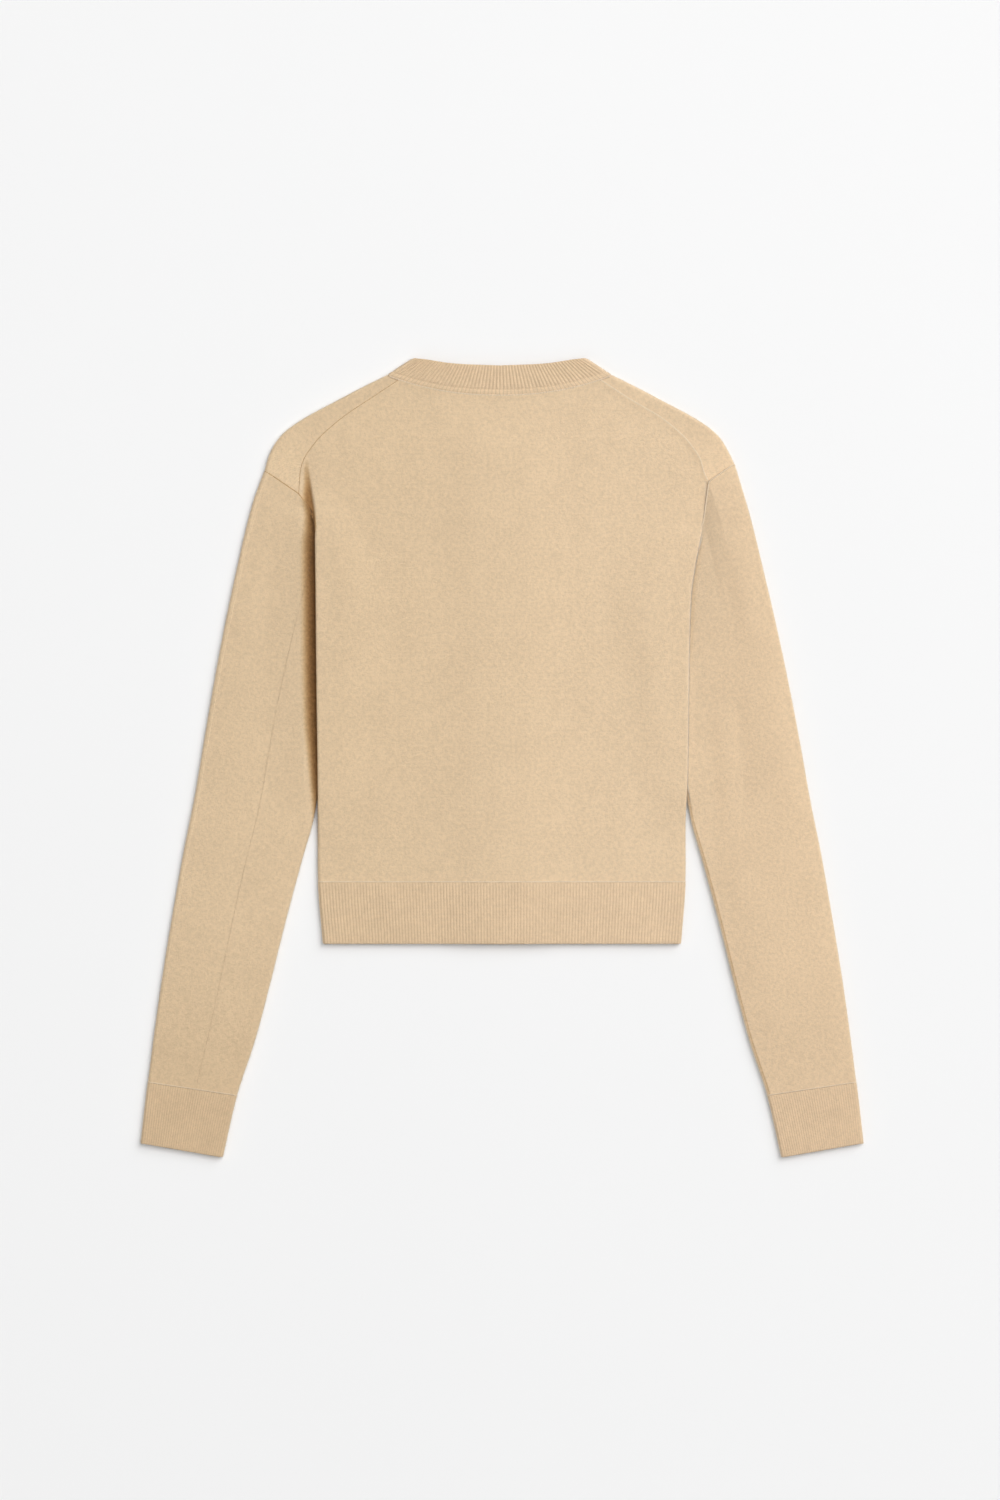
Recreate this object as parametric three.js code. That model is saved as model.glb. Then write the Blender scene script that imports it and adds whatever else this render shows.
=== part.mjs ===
// A cropped button cardigan in fine milled knit, buttoned up and laid flat on its front.
// Millimetres. +Y runs to the neck, +Z up, the surface that it lies on is z = 0, and the
// wearer's left is at -X. The front panels lie lowest, the back on top of them, and both
// sides of the body lie a little over the sleeves.

import * as THREE from 'three';

const { clamp, lerp, smoothstep } = THREE.MathUtils;

// ------------------------------------------------------------------ driving sizes

const CLOTH = 1.8; // wall of the milled stockinette
const RIB_WALL = 2.0; // wall of the ribbed pieces, in the grooves
const RIB_RISE = 0.5; // how far a rib stands above its grooves
const SEAM_GAP = 0.35; // pieces stay this far apart at a seam
const SIDE_SEAM_GAP = 1; // at the side seams, where both walls turn with the fold and come closer inside
const LAYER_GAP = 0.3; // layers stay this far apart in height

const FOLD = 3.2; // outer radius of a free fold, half the height of two loose layers
const PRESSED_FOLD = 2.3; // the same where other layers press on it
const UNDERLAP_TOP = 2 * PRESSED_FOLD; // top of a sleeve where the body lies on it
const SIDE_LOW = UNDERLAP_TOP + LAYER_GAP; // underside of the body where it lies on a sleeve

const NECK_Y = 335.4; // centre of the front neckline's ellipse, at the shoulder folds
const NECK_HALF = 96.2; // half the neck's width between the shoulder folds
const NECK_FRONT_DEPTH = 95; // drop of the front neckline
const NECK_BACK_Y = 319.4; // the back neckline's lowest point
const NECK_BACK_RISE = 16.4; // and its rise to the shoulder folds
const SHOULDER_SEAM_X = 88.5; // where the shoulder seam meets the neckline

const HEM_TOP_Y = -108;
const HEM_BOTTOM_Y = -162.4;
const HEM_RIBS = 120;
const CUFF_RIBS = 34; // on the half of a cuff that lies on top
const NECK_RIBS = 56; // on the back of the neckband

const BAND_HALF = 13; // half the width of the button and buttonhole bands
const BAND_TOP_Y = 263;
const BUTTON_COUNT = 7;
const BUTTON_RADIUS = 7.5;
const BUTTON_THICKNESS = 2;
const BUTTON_FIRST_Y = -148;
const BUTTON_LAST_Y = 250;

const SHOULDER_LEAN = -2.2; // the shoulders lie this far to one side of the hem's centre
const SEAM_LEAN = 2.2; // and the outer shoulder seams this far back from that
const LEAN_Y = { from: -40, to: 230 };
const CENTRE_Y = 1.3; // middle of the whole garment's length

const LIFT_Y = { from: -82, to: -32, top: -10 }; // where the body's side rises from the floor onto the sleeve
const FULL_FOLD_Y = -45; // where the side fold becomes a full half turn
const NEARLY_FOLDED = 3.1; // fold angle from which the cloth also lies flat under the body
const PRESS_Y = { from: -75, to: -25 }; // where the sleeve's inner fold becomes pressed
const PRESS_REACH = { from: 2, to: 18 }; // how far outside the body's fold a sleeve is pressed down
const SIDE_RISE_REACH = 40; // how far into the back its side's height fades
const CORNER_TOP = 7.5; // top of the back where its side fold begins
const FOLD_START_RUN = 16; // length over which the fold turns fully under
const BAND_RISE = 2.5; // how far the bands lift the back
const BAND_RISE_REACH = 60; // half the width of that rise
const FRONT_RAMP = 30; // how far the fronts slope beside the bands and side seams
const FRONT_FLAT = 2; // and how far they stay level there first
const FLAT_MARGIN = 4; // how far the back stays level beside a fold or over the bands
const ARM_RAMP = { from: 32, to: 8 }; // where, below the underarm, the fronts come down to the floor
const NECK_FALL_Y = { from: 268, to: 304 }; // where the back comes down beside the neck
const LIFT_RUN = { from: 1, to: 12 }; // how far from a button's rim the bands come down
const SLEEVE_CROWN = 0.7;
const INNER_RISE_PART = 0.3; // part of a sleeve's width over which it rises from its inner fold
const ARMHOLE_HOLLOW = 17; // how far the front armhole curves toward the body
const BOW_START = 0.45; // part of a sleeve's length from which its rings bend toward the sleeve seam
const BOW_POWER = 1.5;
const SEAM_SPARE = 0.15; // more room at the sleeve seam
const NECK_SPARE = 0.2; // and at the neckband's seam
const HEM_SPARE = 0.25; // and between the fronts and their hem ribs
const HEAD_CLEARANCE = 4; // the shoulder fold's first point lies at least this far above the sleeve seam
const HEAD_PART = 0.12; // part of the shoulder fold that turns into the sleeve seam's direction
const NECK_PART = 0.15; // and that turns into the neck's

const CUFF_EDGE = { outer: -338, inner: -350 }; // where the cuff's rings meet the sleeve's folds
const CUFF_TOP = { outer: -284, inner: -296 };

const FREE_TOP = { half: 71, y: 351.9 }; // where the neckband's free edge starts to turn over the shoulder
const FREE_BOTTOM = { half: 80.9, y: 345.4 }; // and where it lies flat again on the front
const FREE_FRONT_DEPTH = 82.4;

const BUTTON_FACE = 5.6; // radius of the button's rim, which touches the floor
const BUTTON_DISH = 0.5; // how deep its face is dished
const BUTTON_SIDES = 14;

// Steps of the grids.
const ARC_STEPS = 4; // in a fold
const FOLD_COLUMNS = 6; // columns that turn with a side fold
const FOLD_STEP = 1.5; // least distance between them
const SHOULDER_COLUMNS = 8;
const NECK_COLUMNS = 10;
const SLEEVE_TOP_COLUMNS = 10;
const BAND_STEPS = 4; // rows of a front beside the armhole that end at the band
const NECK_STEPS = 8; // and those that end at the neckline
const ARMHOLE_STEPS = BAND_STEPS + NECK_STEPS;
const SIDE_ROWS = [HEM_TOP_Y + SEAM_GAP, -90, -73, -57, -35, 0, 45, 95, 118, 130]; // rows below the underarm

// Half widths of the outline, from the cuff's bottom edge up over the shoulder to the neck.
const OUTLINE = [
  { y: -338, half: 317.8 },
  { y: -284, half: 311.5 },
  { y: -195, half: 299.4 },
  { y: -89, half: 281.6 },
  { y: -36, half: 271 },
  { y: 17, half: 261.8 },
  { y: 70, half: 252.1 },
  { y: 122, half: 241.6 },
  { y: 175, half: 229.7 },
  { y: 210, half: 221.3 },
  { y: 238, half: 213.3 },
  { y: 256, half: 207.4 },
  { y: 268, half: 202.4 },
  { y: 281, half: 194.9 },
  { y: 291, half: 184.6 },
  { y: 302, half: 167.6 },
  { y: 316, half: 141.2 },
  { y: 325, half: 124.2 },
  { y: 338, half: 98 },
];

// The sleeve's inner fold: free below y = -54, under the body above it, up to the underarm.
const SLEEVE_INNER = [
  { y: -350, half: 245.5 },
  { y: -296, half: 233 },
  { y: -247, half: 217 },
  { y: -195, half: 203.2 },
  { y: -142, half: 190 },
  { y: -89, half: 175.8 },
  { y: -54, half: 166 },
  { y: 0, half: 157 },
  { y: 70, half: 145.5 },
  { y: 140, half: 134 },
];

// Half widths of the body's side folds, and of its hem rib.
const BODY_EDGE = [
  { y: -162.4, left: 157.4, right: 157.2 },
  { y: -108, left: 161.8, right: 161.2 },
  { y: -54, left: 162, right: 161.4 },
  { y: -18, left: 162.2, right: 163 },
  { y: 45, left: 162.6, right: 164.4 },
  { y: 95, left: 162.6, right: 165.6 },
  { y: 145, left: 162.4, right: 168 },
  { y: 171, left: 162.5, right: 171.9 },
  { y: 190, left: 162.6, right: 175.8 },
  { y: 203, left: 162.6, right: 178 },
  { y: 215, left: 164.6, right: 179.6 },
  { y: 221, left: 167.4, right: 180.4 },
  { y: 227, left: 171.9, right: 181.2 },
];

// The shoulder seam on the back, from the neckline out to where the sleeve seam meets it.
const SHOULDER_SEAM = [
  { y: 317.6, half: 111.8 },
  { y: 308.9, half: 125.8 },
  { y: 299.2, half: 140.8 },
  { y: 286, half: 156.6 },
  { y: 276.3, half: 165.4 },
  { y: 264, half: 173.7 },
  { y: 252, half: 177.2 },
];

// Where each ring of a sleeve meets its outer and inner folds.
const SLEEVE_ROWS = [
  { outer: CUFF_TOP.outer + SEAM_GAP, inner: CUFF_TOP.inner + SEAM_GAP },
  { outer: -240, inner: -253 },
  { outer: -195, inner: -209 },
  { outer: -142, inner: -159 },
  { outer: -89, inner: -109 },
  { outer: -50, inner: -70 },
  { outer: -14, inner: -38 },
  { outer: 17, inner: -14 },
  { outer: 50, inner: 10 },
  { outer: 87, inner: 34 },
  { outer: 124, inner: 58 },
  { outer: 163, inner: 84 },
  { outer: 200, inner: 108 },
  { outer: 230, inner: 126 },
];

// The neckband's free edge on the back, by half width.
const FREE_EDGE = [
  { y: 0, rise: 345.8 },
  { y: 40, rise: 347.6 },
  { y: 65, rise: 351.2 },
  { y: FREE_TOP.half, rise: FREE_TOP.y },
];

// What differs between the two sides as the garment lies: the sleeve seam's top, its corner
// on the back, and the point below it where the body starts to lie over the sleeve.
const LEFT = {
  name: 'left', sign: -1,
  head: new THREE.Vector2(-209, 253), corner: new THREE.Vector2(-178.6, 233.2),
  foldStart: new THREE.Vector2(-174, 227),
};
const RIGHT = {
  name: 'right', sign: 1,
  head: new THREE.Vector2(204.4, 259), corner: new THREE.Vector2(181.3, 243.8),
  foldStart: new THREE.Vector2(176.4, 208),
};
const UNDERARM_Y = 140;
const UNDERARM_HALF = 134;
const UNDERARM_CLEARANCE = 2.6; // from the sleeve's inner fold to the side seam beside it

// ------------------------------------------------------------------ finishes

const knitFinish = () => new THREE.MeshStandardMaterial({ color: 0xd9bd96, roughness: 0.95, metalness: 0 });
const ribFinish = () => new THREE.MeshStandardMaterial({ color: 0xd2b48c, roughness: 0.95, metalness: 0 });
const buttonFinish = () => new THREE.MeshStandardMaterial({ color: 0xb99a70, roughness: 0.35, metalness: 0 });

// ------------------------------------------------------------------ general shapes

/** A table's column at height y, on a smooth curve through its rows, which go up in y. */
function readTable(table, column, y) {
  const last = table.length - 1;
  let k = 0;
  while (k < last - 1 && y > table[k + 1].y) k += 1;
  const [low, high] = [table[k], table[k + 1]];
  const before = table[Math.max(k - 1, 0)];
  const after = table[Math.min(k + 2, last)];
  const step = high.y - low.y;
  const t = clamp((y - low.y) / step, 0, 1);
  const lowSlope = (step * (high[column] - before[column])) / (high.y - before.y);
  const highSlope = (step * (after[column] - low[column])) / (after.y - low.y);
  const fromLow = 2 * t ** 3 - 3 * t ** 2 + 1;
  return low[column] * fromLow + high[column] * (1 - fromLow)
    + lowSlope * (t ** 3 - 2 * t ** 2 + t) + highSlope * (t ** 3 - t ** 2);
}

/**
 * A wall of cloth over a grid of points on its outer face, rows of equal length. The inner
 * face is the same grid moved inward along its normals, relief raises single outer points,
 * and the free edges are closed. A tube joins its last column to its first.
 */
function clothWall(rows, { wall, tube = false, relief = () => 0 }) {
  const columnCount = rows[0].length;
  const rowCount = rows.length;
  const wrap = (i) => (tube ? (i + columnCount) % columnCount : clamp(i, 0, columnCount - 1));
  const point = (i, j) => rows[clamp(j, 0, rowCount - 1)][wrap(i)];
  const slopeAtEnd = (a, b, c) => a.clone().multiplyScalar(-3).addScaledVector(b, 4).sub(c);
  const normal = (i, j) => {
    let across = point(i + 1, j).clone().sub(point(i - 1, j));
    if (!tube && i === 0) across = slopeAtEnd(point(0, j), point(1, j), point(2, j));
    if (!tube && i === columnCount - 1) {
      across = slopeAtEnd(point(i, j), point(i - 1, j), point(i - 2, j)).negate();
    }
    const along = point(i, j + 1).clone().sub(point(i, j - 1));
    return across.cross(along).normalize();
  };
  const vertices = [];
  for (let j = 0; j < rowCount; j += 1) {
    for (let i = 0; i < columnCount; i += 1) {
      const outward = normal(i, j);
      const base = point(i, j);
      vertices.push(base.clone().addScaledVector(outward, relief(i, j)));
      vertices.push(base.clone().addScaledVector(outward, -wall));
    }
  }
  const outer = (i, j) => 2 * (j * columnCount + wrap(i));
  const inner = (i, j) => outer(i, j) + 1;
  const triangles = [];
  const quad = (a, b, c, d) => triangles.push(a, b, c, a, c, d);
  const lastColumn = tube ? columnCount : columnCount - 1;
  for (let j = 0; j < rowCount - 1; j += 1) {
    for (let i = 0; i < lastColumn; i += 1) {
      quad(outer(i, j), outer(i + 1, j), outer(i + 1, j + 1), outer(i, j + 1));
      quad(inner(i, j), inner(i, j + 1), inner(i + 1, j + 1), inner(i + 1, j));
    }
  }
  const top = rowCount - 1;
  for (let i = 0; i < lastColumn; i += 1) {
    quad(outer(i + 1, 0), outer(i, 0), inner(i, 0), inner(i + 1, 0));
    quad(outer(i, top), outer(i + 1, top), inner(i + 1, top), inner(i, top));
  }
  for (let j = 0; j < top && !tube; j += 1) {
    quad(outer(0, j), outer(0, j + 1), inner(0, j + 1), inner(0, j));
    quad(outer(lastColumn, j + 1), outer(lastColumn, j), inner(lastColumn, j), inner(lastColumn, j + 1));
  }
  const positions = vertices.flatMap((v) => [v.x, v.y, v.z]);
  const geometry = new THREE.BufferGeometry();
  geometry.setAttribute('position', new THREE.Float32BufferAttribute(positions, 3));
  geometry.setIndex(triangles);
  geometry.computeVertexNormals();
  return geometry;
}

/** A named piece. */
function piece(name, geometry, material) {
  const mesh = new THREE.Mesh(geometry, material);
  mesh.name = name;
  return mesh;
}

/** Rows whose columns run the other way, which turns the wall's outer face over. */
const reversed = (rows) => rows.map((row) => [...row].reverse());

/** count + 1 even fractions from 0 to 1. */
const fractions = (count) => Array.from({ length: count + 1 }, (_, k) => k / count);

/** A plan point raised to a height. */
const raise = (plan, z) => new THREE.Vector3(plan.x, plan.y, z);

// ------------------------------------------------------------------ how the garment lies

/** Sideways lean of the upper garment. */
const lean = (y) => SHOULDER_LEAN * smoothstep(y, LEAN_Y.from, LEAN_Y.to);

/** A plan point from a half width on one side. */
const planPoint = (side, half, y) => new THREE.Vector2(lean(y) + side.sign * half, y);

/** How far up a button pushes the two bands that lie on it. */
function buttonLift(y) {
  const spacing = (BUTTON_LAST_Y - BUTTON_FIRST_Y) / (BUTTON_COUNT - 1);
  const nearest = clamp(Math.round((y - BUTTON_FIRST_Y) / spacing), 0, BUTTON_COUNT - 1);
  const distance = Math.abs(y - BUTTON_FIRST_Y - nearest * spacing);
  const away = smoothstep(distance, BUTTON_RADIUS + LIFT_RUN.from, BUTTON_RADIUS + LIFT_RUN.to);
  return (BUTTON_THICKNESS + LAYER_GAP) * (1 - away);
}

/** Height of the front layer's underside near the bands: the left front lies on the right one's band. */
function bandLift(side, x, y) {
  const nearness = 1 - smoothstep(Math.abs(x), BAND_HALF + FRONT_FLAT, BAND_HALF + FRONT_RAMP);
  const step = side.sign < 0 ? RIB_WALL + LAYER_GAP : 0;
  return nearness * (step + buttonLift(y));
}

/** Underside of the body's side folds: on the floor near the hem, on the sleeve higher up. */
const sideLow = (y) => SIDE_LOW * smoothstep(y, LIFT_Y.from, LIFT_Y.to);

/** Top of the body along its side folds. */
function sideTop(side, y) {
  const free = 2 * FOLD;
  const lying = SIDE_LOW + 2 * PRESSED_FOLD;
  const start = side.foldStart.y;
  const below = lerp(free, lying, smoothstep(y, LIFT_Y.from, LIFT_Y.top));
  const nearCorner = smoothstep(y, start - FOLD_START_RUN, start);
  return lerp(below, CORNER_TOP, nearCorner) - (CORNER_TOP - free) * smoothstep(y, start, side.corner.y);
}

/** Outer radius of the body's side fold. */
const sideRadius = (side, y) => Math.min((sideTop(side, y) - sideLow(y)) / 2, FOLD);

/** Height of the back's upper face. */
function backTop(x, y) {
  const side = x < lean(y) ? LEFT : RIGHT;
  const inboard = bodyEdge(side, y) - Math.abs(x - lean(y));
  const turned = turnedEdge(side, Math.min(y, side.foldStart.y));
  const lap = Math.max(bodyEdge(side, y) - turned, 0) + FLAT_MARGIN;
  const lift = sideTop(side, Math.min(y, side.corner.y)) - 2 * FOLD;
  const atSide = lift * (1 - smoothstep(inboard, lap, lap + SIDE_RISE_REACH));
  const besideNeck = 1 - smoothstep(y, NECK_FALL_Y.from, NECK_FALL_Y.to);
  const overBands = 1 - smoothstep(Math.abs(x), BAND_HALF + FLAT_MARGIN, BAND_RISE_REACH);
  return 2 * FOLD + atSide + BAND_RISE * overBands * besideNeck;
}

/** Half width of the body at its side fold. */
function bodyEdge(side, y) {
  return readTable(BODY_EDGE, side.name, y);
}

/** Where the side seam meets the sleeve. */
const underarm = (side) => planPoint(side, UNDERARM_HALF, UNDERARM_Y);

// ------------------------------------------------------------------ the side section

/** Fold angle of the back's side: none at the sleeve seam, a half turn lower, a quarter at the hem. */
function foldAngle(side, y) {
  const fromCorner = Math.PI * (1 - smoothstep(y, side.foldStart.y - FOLD_START_RUN, side.foldStart.y));
  const towardHem = lerp(Math.PI / 2, Math.PI, smoothstep(y, HEM_TOP_Y, FULL_FOLD_Y));
  return Math.min(fromCorner, towardHem);
}

/** Half width of the back's turned-under edge: over the sleeve seam, then beside the sleeve's fold. */
function turnedEdge(side, y) {
  const end = underarm(side);
  if (y >= UNDERARM_Y) {
    const t = clamp((y - end.y) / (side.foldStart.y - end.y), 0, 1);
    return Math.abs(lerp(end.x, side.foldStart.x, t) - lean(y)) - UNDERARM_CLEARANCE * (1 - t);
  }
  return readTable(SLEEVE_INNER, 'half', y) - UNDERARM_CLEARANCE;
}

/** Length of the back's cloth past the point where its side fold begins. */
function turnedLength(side, y) {
  const radius = sideRadius(side, y);
  const angle = foldAngle(side, y);
  const flat = bodyEdge(side, y) - radius - turnedEdge(side, y);
  return radius * angle + (angle > NEARLY_FOLDED ? Math.max(flat, 0) : 0);
}

/** A point of the body's side section, q along the cloth outward from where the fold begins on top. */
function sideSection(side, y, q) {
  const radius = sideRadius(side, y);
  const turn = Math.min(foldAngle(side, y), Math.PI / 2);
  const foldHalf = bodyEdge(side, y) - radius * Math.sin(turn);
  const top = sideTop(side, y);
  if (q <= 0) {
    const plan = planPoint(side, foldHalf + q, y);
    return raise(plan, backTop(plan.x, y));
  }
  const angle = q / radius;
  if (angle > Math.PI) return raise(planPoint(side, foldHalf - (q - Math.PI * radius), y), top - 2 * radius);
  const onArc = planPoint(side, foldHalf + radius * Math.sin(angle), y);
  return raise(onArc, top - radius * (1 - Math.cos(angle)));
}

// ------------------------------------------------------------------ seams shared by two pieces

/** Back neckline, which the neckband's lower edge follows. */
const backNeckY = (x) => NECK_BACK_Y + NECK_BACK_RISE * (Math.abs(x - SHOULDER_LEAN) / NECK_HALF) ** 2.2;

/** Where on the front neckline's ellipse the bands begin. */
const LOWEST_NECK = Math.acos((BAND_HALF + SEAM_GAP) / NECK_HALF);

/** Front neckline: a quarter ellipse from the shoulder fold (0) to the bands (a quarter turn). */
function frontNeck(side, angle) {
  const half = NECK_HALF * Math.cos(angle);
  const y = NECK_Y - NECK_FRONT_DEPTH * Math.sin(angle);
  return new THREE.Vector2(side.sign * half + SHOULDER_LEAN * Math.cos(angle), y);
}

/** The shoulder seam on the back, from the sleeve seam's corner to the neckline. */
function shoulderSeam(side) {
  const neckX = SHOULDER_LEAN + side.sign * SHOULDER_SEAM_X;
  const rows = SHOULDER_SEAM.map((row) => {
    const plan = planPoint(side, row.half, row.y);
    plan.x += SEAM_LEAN * smoothstep(row.half, 110, 150);
    return plan;
  });
  return new THREE.SplineCurve([new THREE.Vector2(neckX, backNeckY(neckX)), ...rows, side.corner].reverse());
}

/** The shoulder's fold line, from the sleeve seam's top to the neck. */
function shoulderFold(side) {
  const rows = OUTLINE.filter((row) => row.y > side.head.y + HEAD_CLEARANCE);
  return new THREE.SplineCurve([side.head, ...rows.map((row) => planPoint(side, row.half, row.y))]);
}

/** Outward direction of the fold at the sleeve seam's top and at the neck, and across the sleeve seam. */
const headOutward = (side) => new THREE.Vector2(side.sign * 0.935, 0.355);
const neckOutward = (side) => new THREE.Vector2(side.sign * 0.56, 0.828);
const sleeveSeamOutward = (side) => new THREE.Vector2(side.sign * 0.83, -0.56);

/** Front armhole seam, from the underarm (0) to the sleeve seam's top (1), hollowed toward the body. */
function frontArmhole(side, t) {
  const from = underarm(side);
  const to = side.head.clone().addScaledVector(headOutward(side), -FOLD);
  const chord = to.clone().sub(from);
  const inboard = new THREE.Vector2(-side.sign * chord.y, side.sign * chord.x).normalize();
  return from.clone().lerp(to, t).addScaledVector(inboard, ARMHOLE_HOLLOW * Math.sin(Math.PI * t));
}

// ------------------------------------------------------------------ the back

/** Lengths of cloth past the fold where the back's columns that turn with it lie, from its edge in. */
function foldColumns(side, y) {
  const arc = Math.PI * sideRadius(side, y);
  const edge = turnedLength(side, y);
  const wanted = [edge, (edge + arc) / 2, arc, (arc * 2) / 3, arc / 3, 0, -FLAT_MARGIN];
  const lengths = [edge];
  for (const next of wanted.slice(1)) lengths.push(Math.min(next, lengths.at(-1) - FOLD_STEP));
  return lengths;
}

/** One row of the back below the shoulders, from its left edge to its right one. */
function backRow(leftY, rightY) {
  const left = foldColumns(LEFT, leftY).map((q) => sideSection(LEFT, leftY, q));
  const right = foldColumns(RIGHT, rightY).map((q) => sideSection(RIGHT, rightY, q)).reverse();
  const middleCount = 2 * SHOULDER_COLUMNS + NECK_COLUMNS;
  const [start, end] = [left.at(-1), right[0]];
  const middle = fractions(middleCount).slice(1, -1).map((f) => {
    const [x, y] = [lerp(start.x, end.x, f), lerp(start.y, end.y, f)];
    return new THREE.Vector3(x, y, backTop(x, y));
  });
  return [...left, ...middle, ...right];
}

/** The back's top edge: up the left shoulder seam, along the neckline and down the right shoulder seam. */
function backTopEdge() {
  const shoulder = (side) => {
    const seam = shoulderSeam(side);
    const length = seam.getLength();
    return seamDistances(length).map((d) => seam.getPointAt(d / length));
  };
  const left = shoulder(LEFT);
  const right = shoulder(RIGHT).reverse();
  const neck = fractions(NECK_COLUMNS).slice(1, -1).map((f) => {
    const x = lerp(left.at(-1).x, right[0].x, f);
    return new THREE.Vector2(x, backNeckY(x));
  });
  return [...left, ...neck, ...right].map((plan) => raise(plan, backTop(plan.x, plan.y)));
}

/** Distances along a row from its outer end: a few close steps, then even ones. */
function seamDistances(length) {
  const close = Array.from({ length: FOLD_COLUMNS + 1 }, (_, k) => k * FOLD_STEP);
  const rest = length - close.at(-1);
  return [...close, ...fractions(SHOULDER_COLUMNS).slice(1).map((f) => close.at(-1) + f * rest)];
}

function makeBack() {
  const lowRows = [...SIDE_ROWS, UNDERARM_Y].map((y) => backRow(y, y));
  const underFold = fractions(3).slice(1, -1).map((f) => {
    const rise = (side) => lerp(UNDERARM_Y, side.foldStart.y - FOLD_START_RUN, f);
    return backRow(rise(LEFT), rise(RIGHT));
  });
  const foldRows = fractions(3).map((f) => {
    const below = FOLD_START_RUN * (f - 1);
    return backRow(LEFT.foldStart.y + below, RIGHT.foldStart.y + below);
  });
  const lastRow = foldRows.at(-1);
  const topEdge = backTopEdge();
  const topRows = fractions(4).slice(1).map((f) => lastRow.map((start, i) => {
    const plan = start.clone().lerp(topEdge[i], f);
    plan.z = backTop(plan.x, plan.y);
    return plan;
  }));
  const rows = [...lowRows, ...underFold, ...foldRows, ...topRows];
  return piece('back', clothWall(rows, { wall: CLOTH }), knitFinish());
}

// ------------------------------------------------------------------ the fronts

/** Height of a front panel's underside: up to the turned-under edge at the side, and up to the bands. */
function frontLow(side, x, y) {
  const half = Math.abs(x - lean(y));
  const seam = turnedEdge(side, Math.min(y, UNDERARM_Y));
  const atSide = 1 - smoothstep(seam - half, 0, FRONT_RAMP);
  const belowArm = 1 - smoothstep(y, UNDERARM_Y - ARM_RAMP.from, UNDERARM_Y - ARM_RAMP.to);
  return sideLow(y) * atSide * belowArm + bandLift(side, x, y);
}

/** A row of a front panel below the underarm, from the side seam in to the band. */
function frontLowRow(side, y) {
  const seamAt = turnedLength(side, y) + SIDE_SEAM_GAP;
  const close = Array.from({ length: FOLD_COLUMNS + 1 }, (_, k) => {
    const point = sideSection(side, y, seamAt + k * FOLD_STEP);
    const arcLeft = Math.PI * sideRadius(side, y) - (seamAt + k * FOLD_STEP);
    if (arcLeft <= 0) point.z = frontLow(side, point.x, y);
    return point;
  });
  const start = close.at(-1);
  const endX = side.sign * (BAND_HALF + SEAM_GAP);
  const rest = fractions(SHOULDER_COLUMNS).slice(1).map((f) => {
    const x = lerp(start.x, endX, f);
    return new THREE.Vector3(x, y, frontLow(side, x, y));
  });
  return [...close, ...rest];
}

/** The front panel's inner edge above the underarm: up the band, then round the neckline. */
function frontInnerEdge(side, f) {
  const bandEnd = BAND_STEPS / ARMHOLE_STEPS;
  const neckStart = frontNeck(side, LOWEST_NECK);
  neckStart.x = side.sign * (BAND_HALF + SEAM_GAP);
  if (f <= bandEnd) return new THREE.Vector2(neckStart.x, lerp(UNDERARM_Y, neckStart.y, f / bandEnd));
  return frontNeck(side, LOWEST_NECK * (1 - (f - bandEnd) / (1 - bandEnd)));
}

function makeFront(side) {
  const lowRows = SIDE_ROWS.map((y) => frontLowRow(side, y));
  const fold = shoulderFold(side);
  const seam = shoulderSeam(side);
  const foldPoint = (f, outwardPart) => {
    const tangent = fold.getTangentAt(f);
    const ownOutward = new THREE.Vector2(-side.sign * tangent.y, side.sign * tangent.x);
    if (ownOutward.y < 0) ownOutward.negate();
    const nearHead = 1 - smoothstep(f, 0, HEAD_PART);
    const nearNeck = smoothstep(f, 1 - NECK_PART, 1);
    const outward = ownOutward.multiplyScalar(1 - nearHead - nearNeck)
      .addScaledVector(headOutward(side), nearHead).addScaledVector(neckOutward(side), nearNeck).normalize();
    return fold.getPointAt(f).addScaledVector(outward, FOLD * (outwardPart - 1));
  };
  const foldLength = fold.getLength();
  const foldFractions = seamDistances(foldLength).map((d) => d / foldLength);
  const [headEnd, neckEnd] = [foldPoint(0, 0), foldPoint(1, 0)];
  const armholeRows = fractions(ARMHOLE_STEPS).slice(0, -1).map((t) => {
    const from = frontArmhole(side, t);
    const to = frontInnerEdge(side, t);
    const length = from.distanceTo(to);
    return seamDistances(length).map((d, i) => {
      const f = foldFractions[i];
      const straight = headEnd.clone().lerp(neckEnd, f);
      const bow = foldPoint(f, 0).sub(straight).multiplyScalar(t ** 3);
      const plan = from.clone().lerp(to, d / length).add(bow);
      return raise(plan, frontLow(side, plan.x, plan.y));
    });
  });
  const turnRows = fractions(ARC_STEPS).map((part) => {
    const angle = Math.PI * part;
    return foldFractions.map((f) => raise(foldPoint(f, Math.sin(angle)), FOLD * (1 - Math.cos(angle))));
  });
  const seamLength = seam.getLength();
  const seamPoints = seamDistances(seamLength).map((d) => seam.getPointAt(d / seamLength));
  const lastTurn = turnRows.at(-1);
  const overRows = [0.5, 1].map((f) => lastTurn.map((start, i) => {
    const shortened = 1 - (f * SEAM_GAP) / Math.max(seamPoints[i].distanceTo(start), 1);
    const plan = new THREE.Vector2(start.x, start.y).lerp(seamPoints[i], f * shortened);
    return raise(plan, 2 * FOLD);
  }));
  const rows = [...lowRows, ...armholeRows, ...turnRows, ...overRows];
  const facing = side.sign < 0 ? reversed(rows) : rows;
  return piece(`front_${side.name}`, clothWall(facing, { wall: CLOTH }), knitFinish());
}

// ------------------------------------------------------------------ tubes lying flat

/** How fast a table's half width grows with y. */
function tableSlope(table, y) {
  const step = 2;
  return (readTable(table, 'half', y + step) - readTable(table, 'half', y - step)) / (2 * step);
}

/** Outward direction of the outline. */
const outlineOutward = (side, y) => new THREE.Vector2(side.sign, -tableSlope(OUTLINE, y)).normalize();

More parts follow.
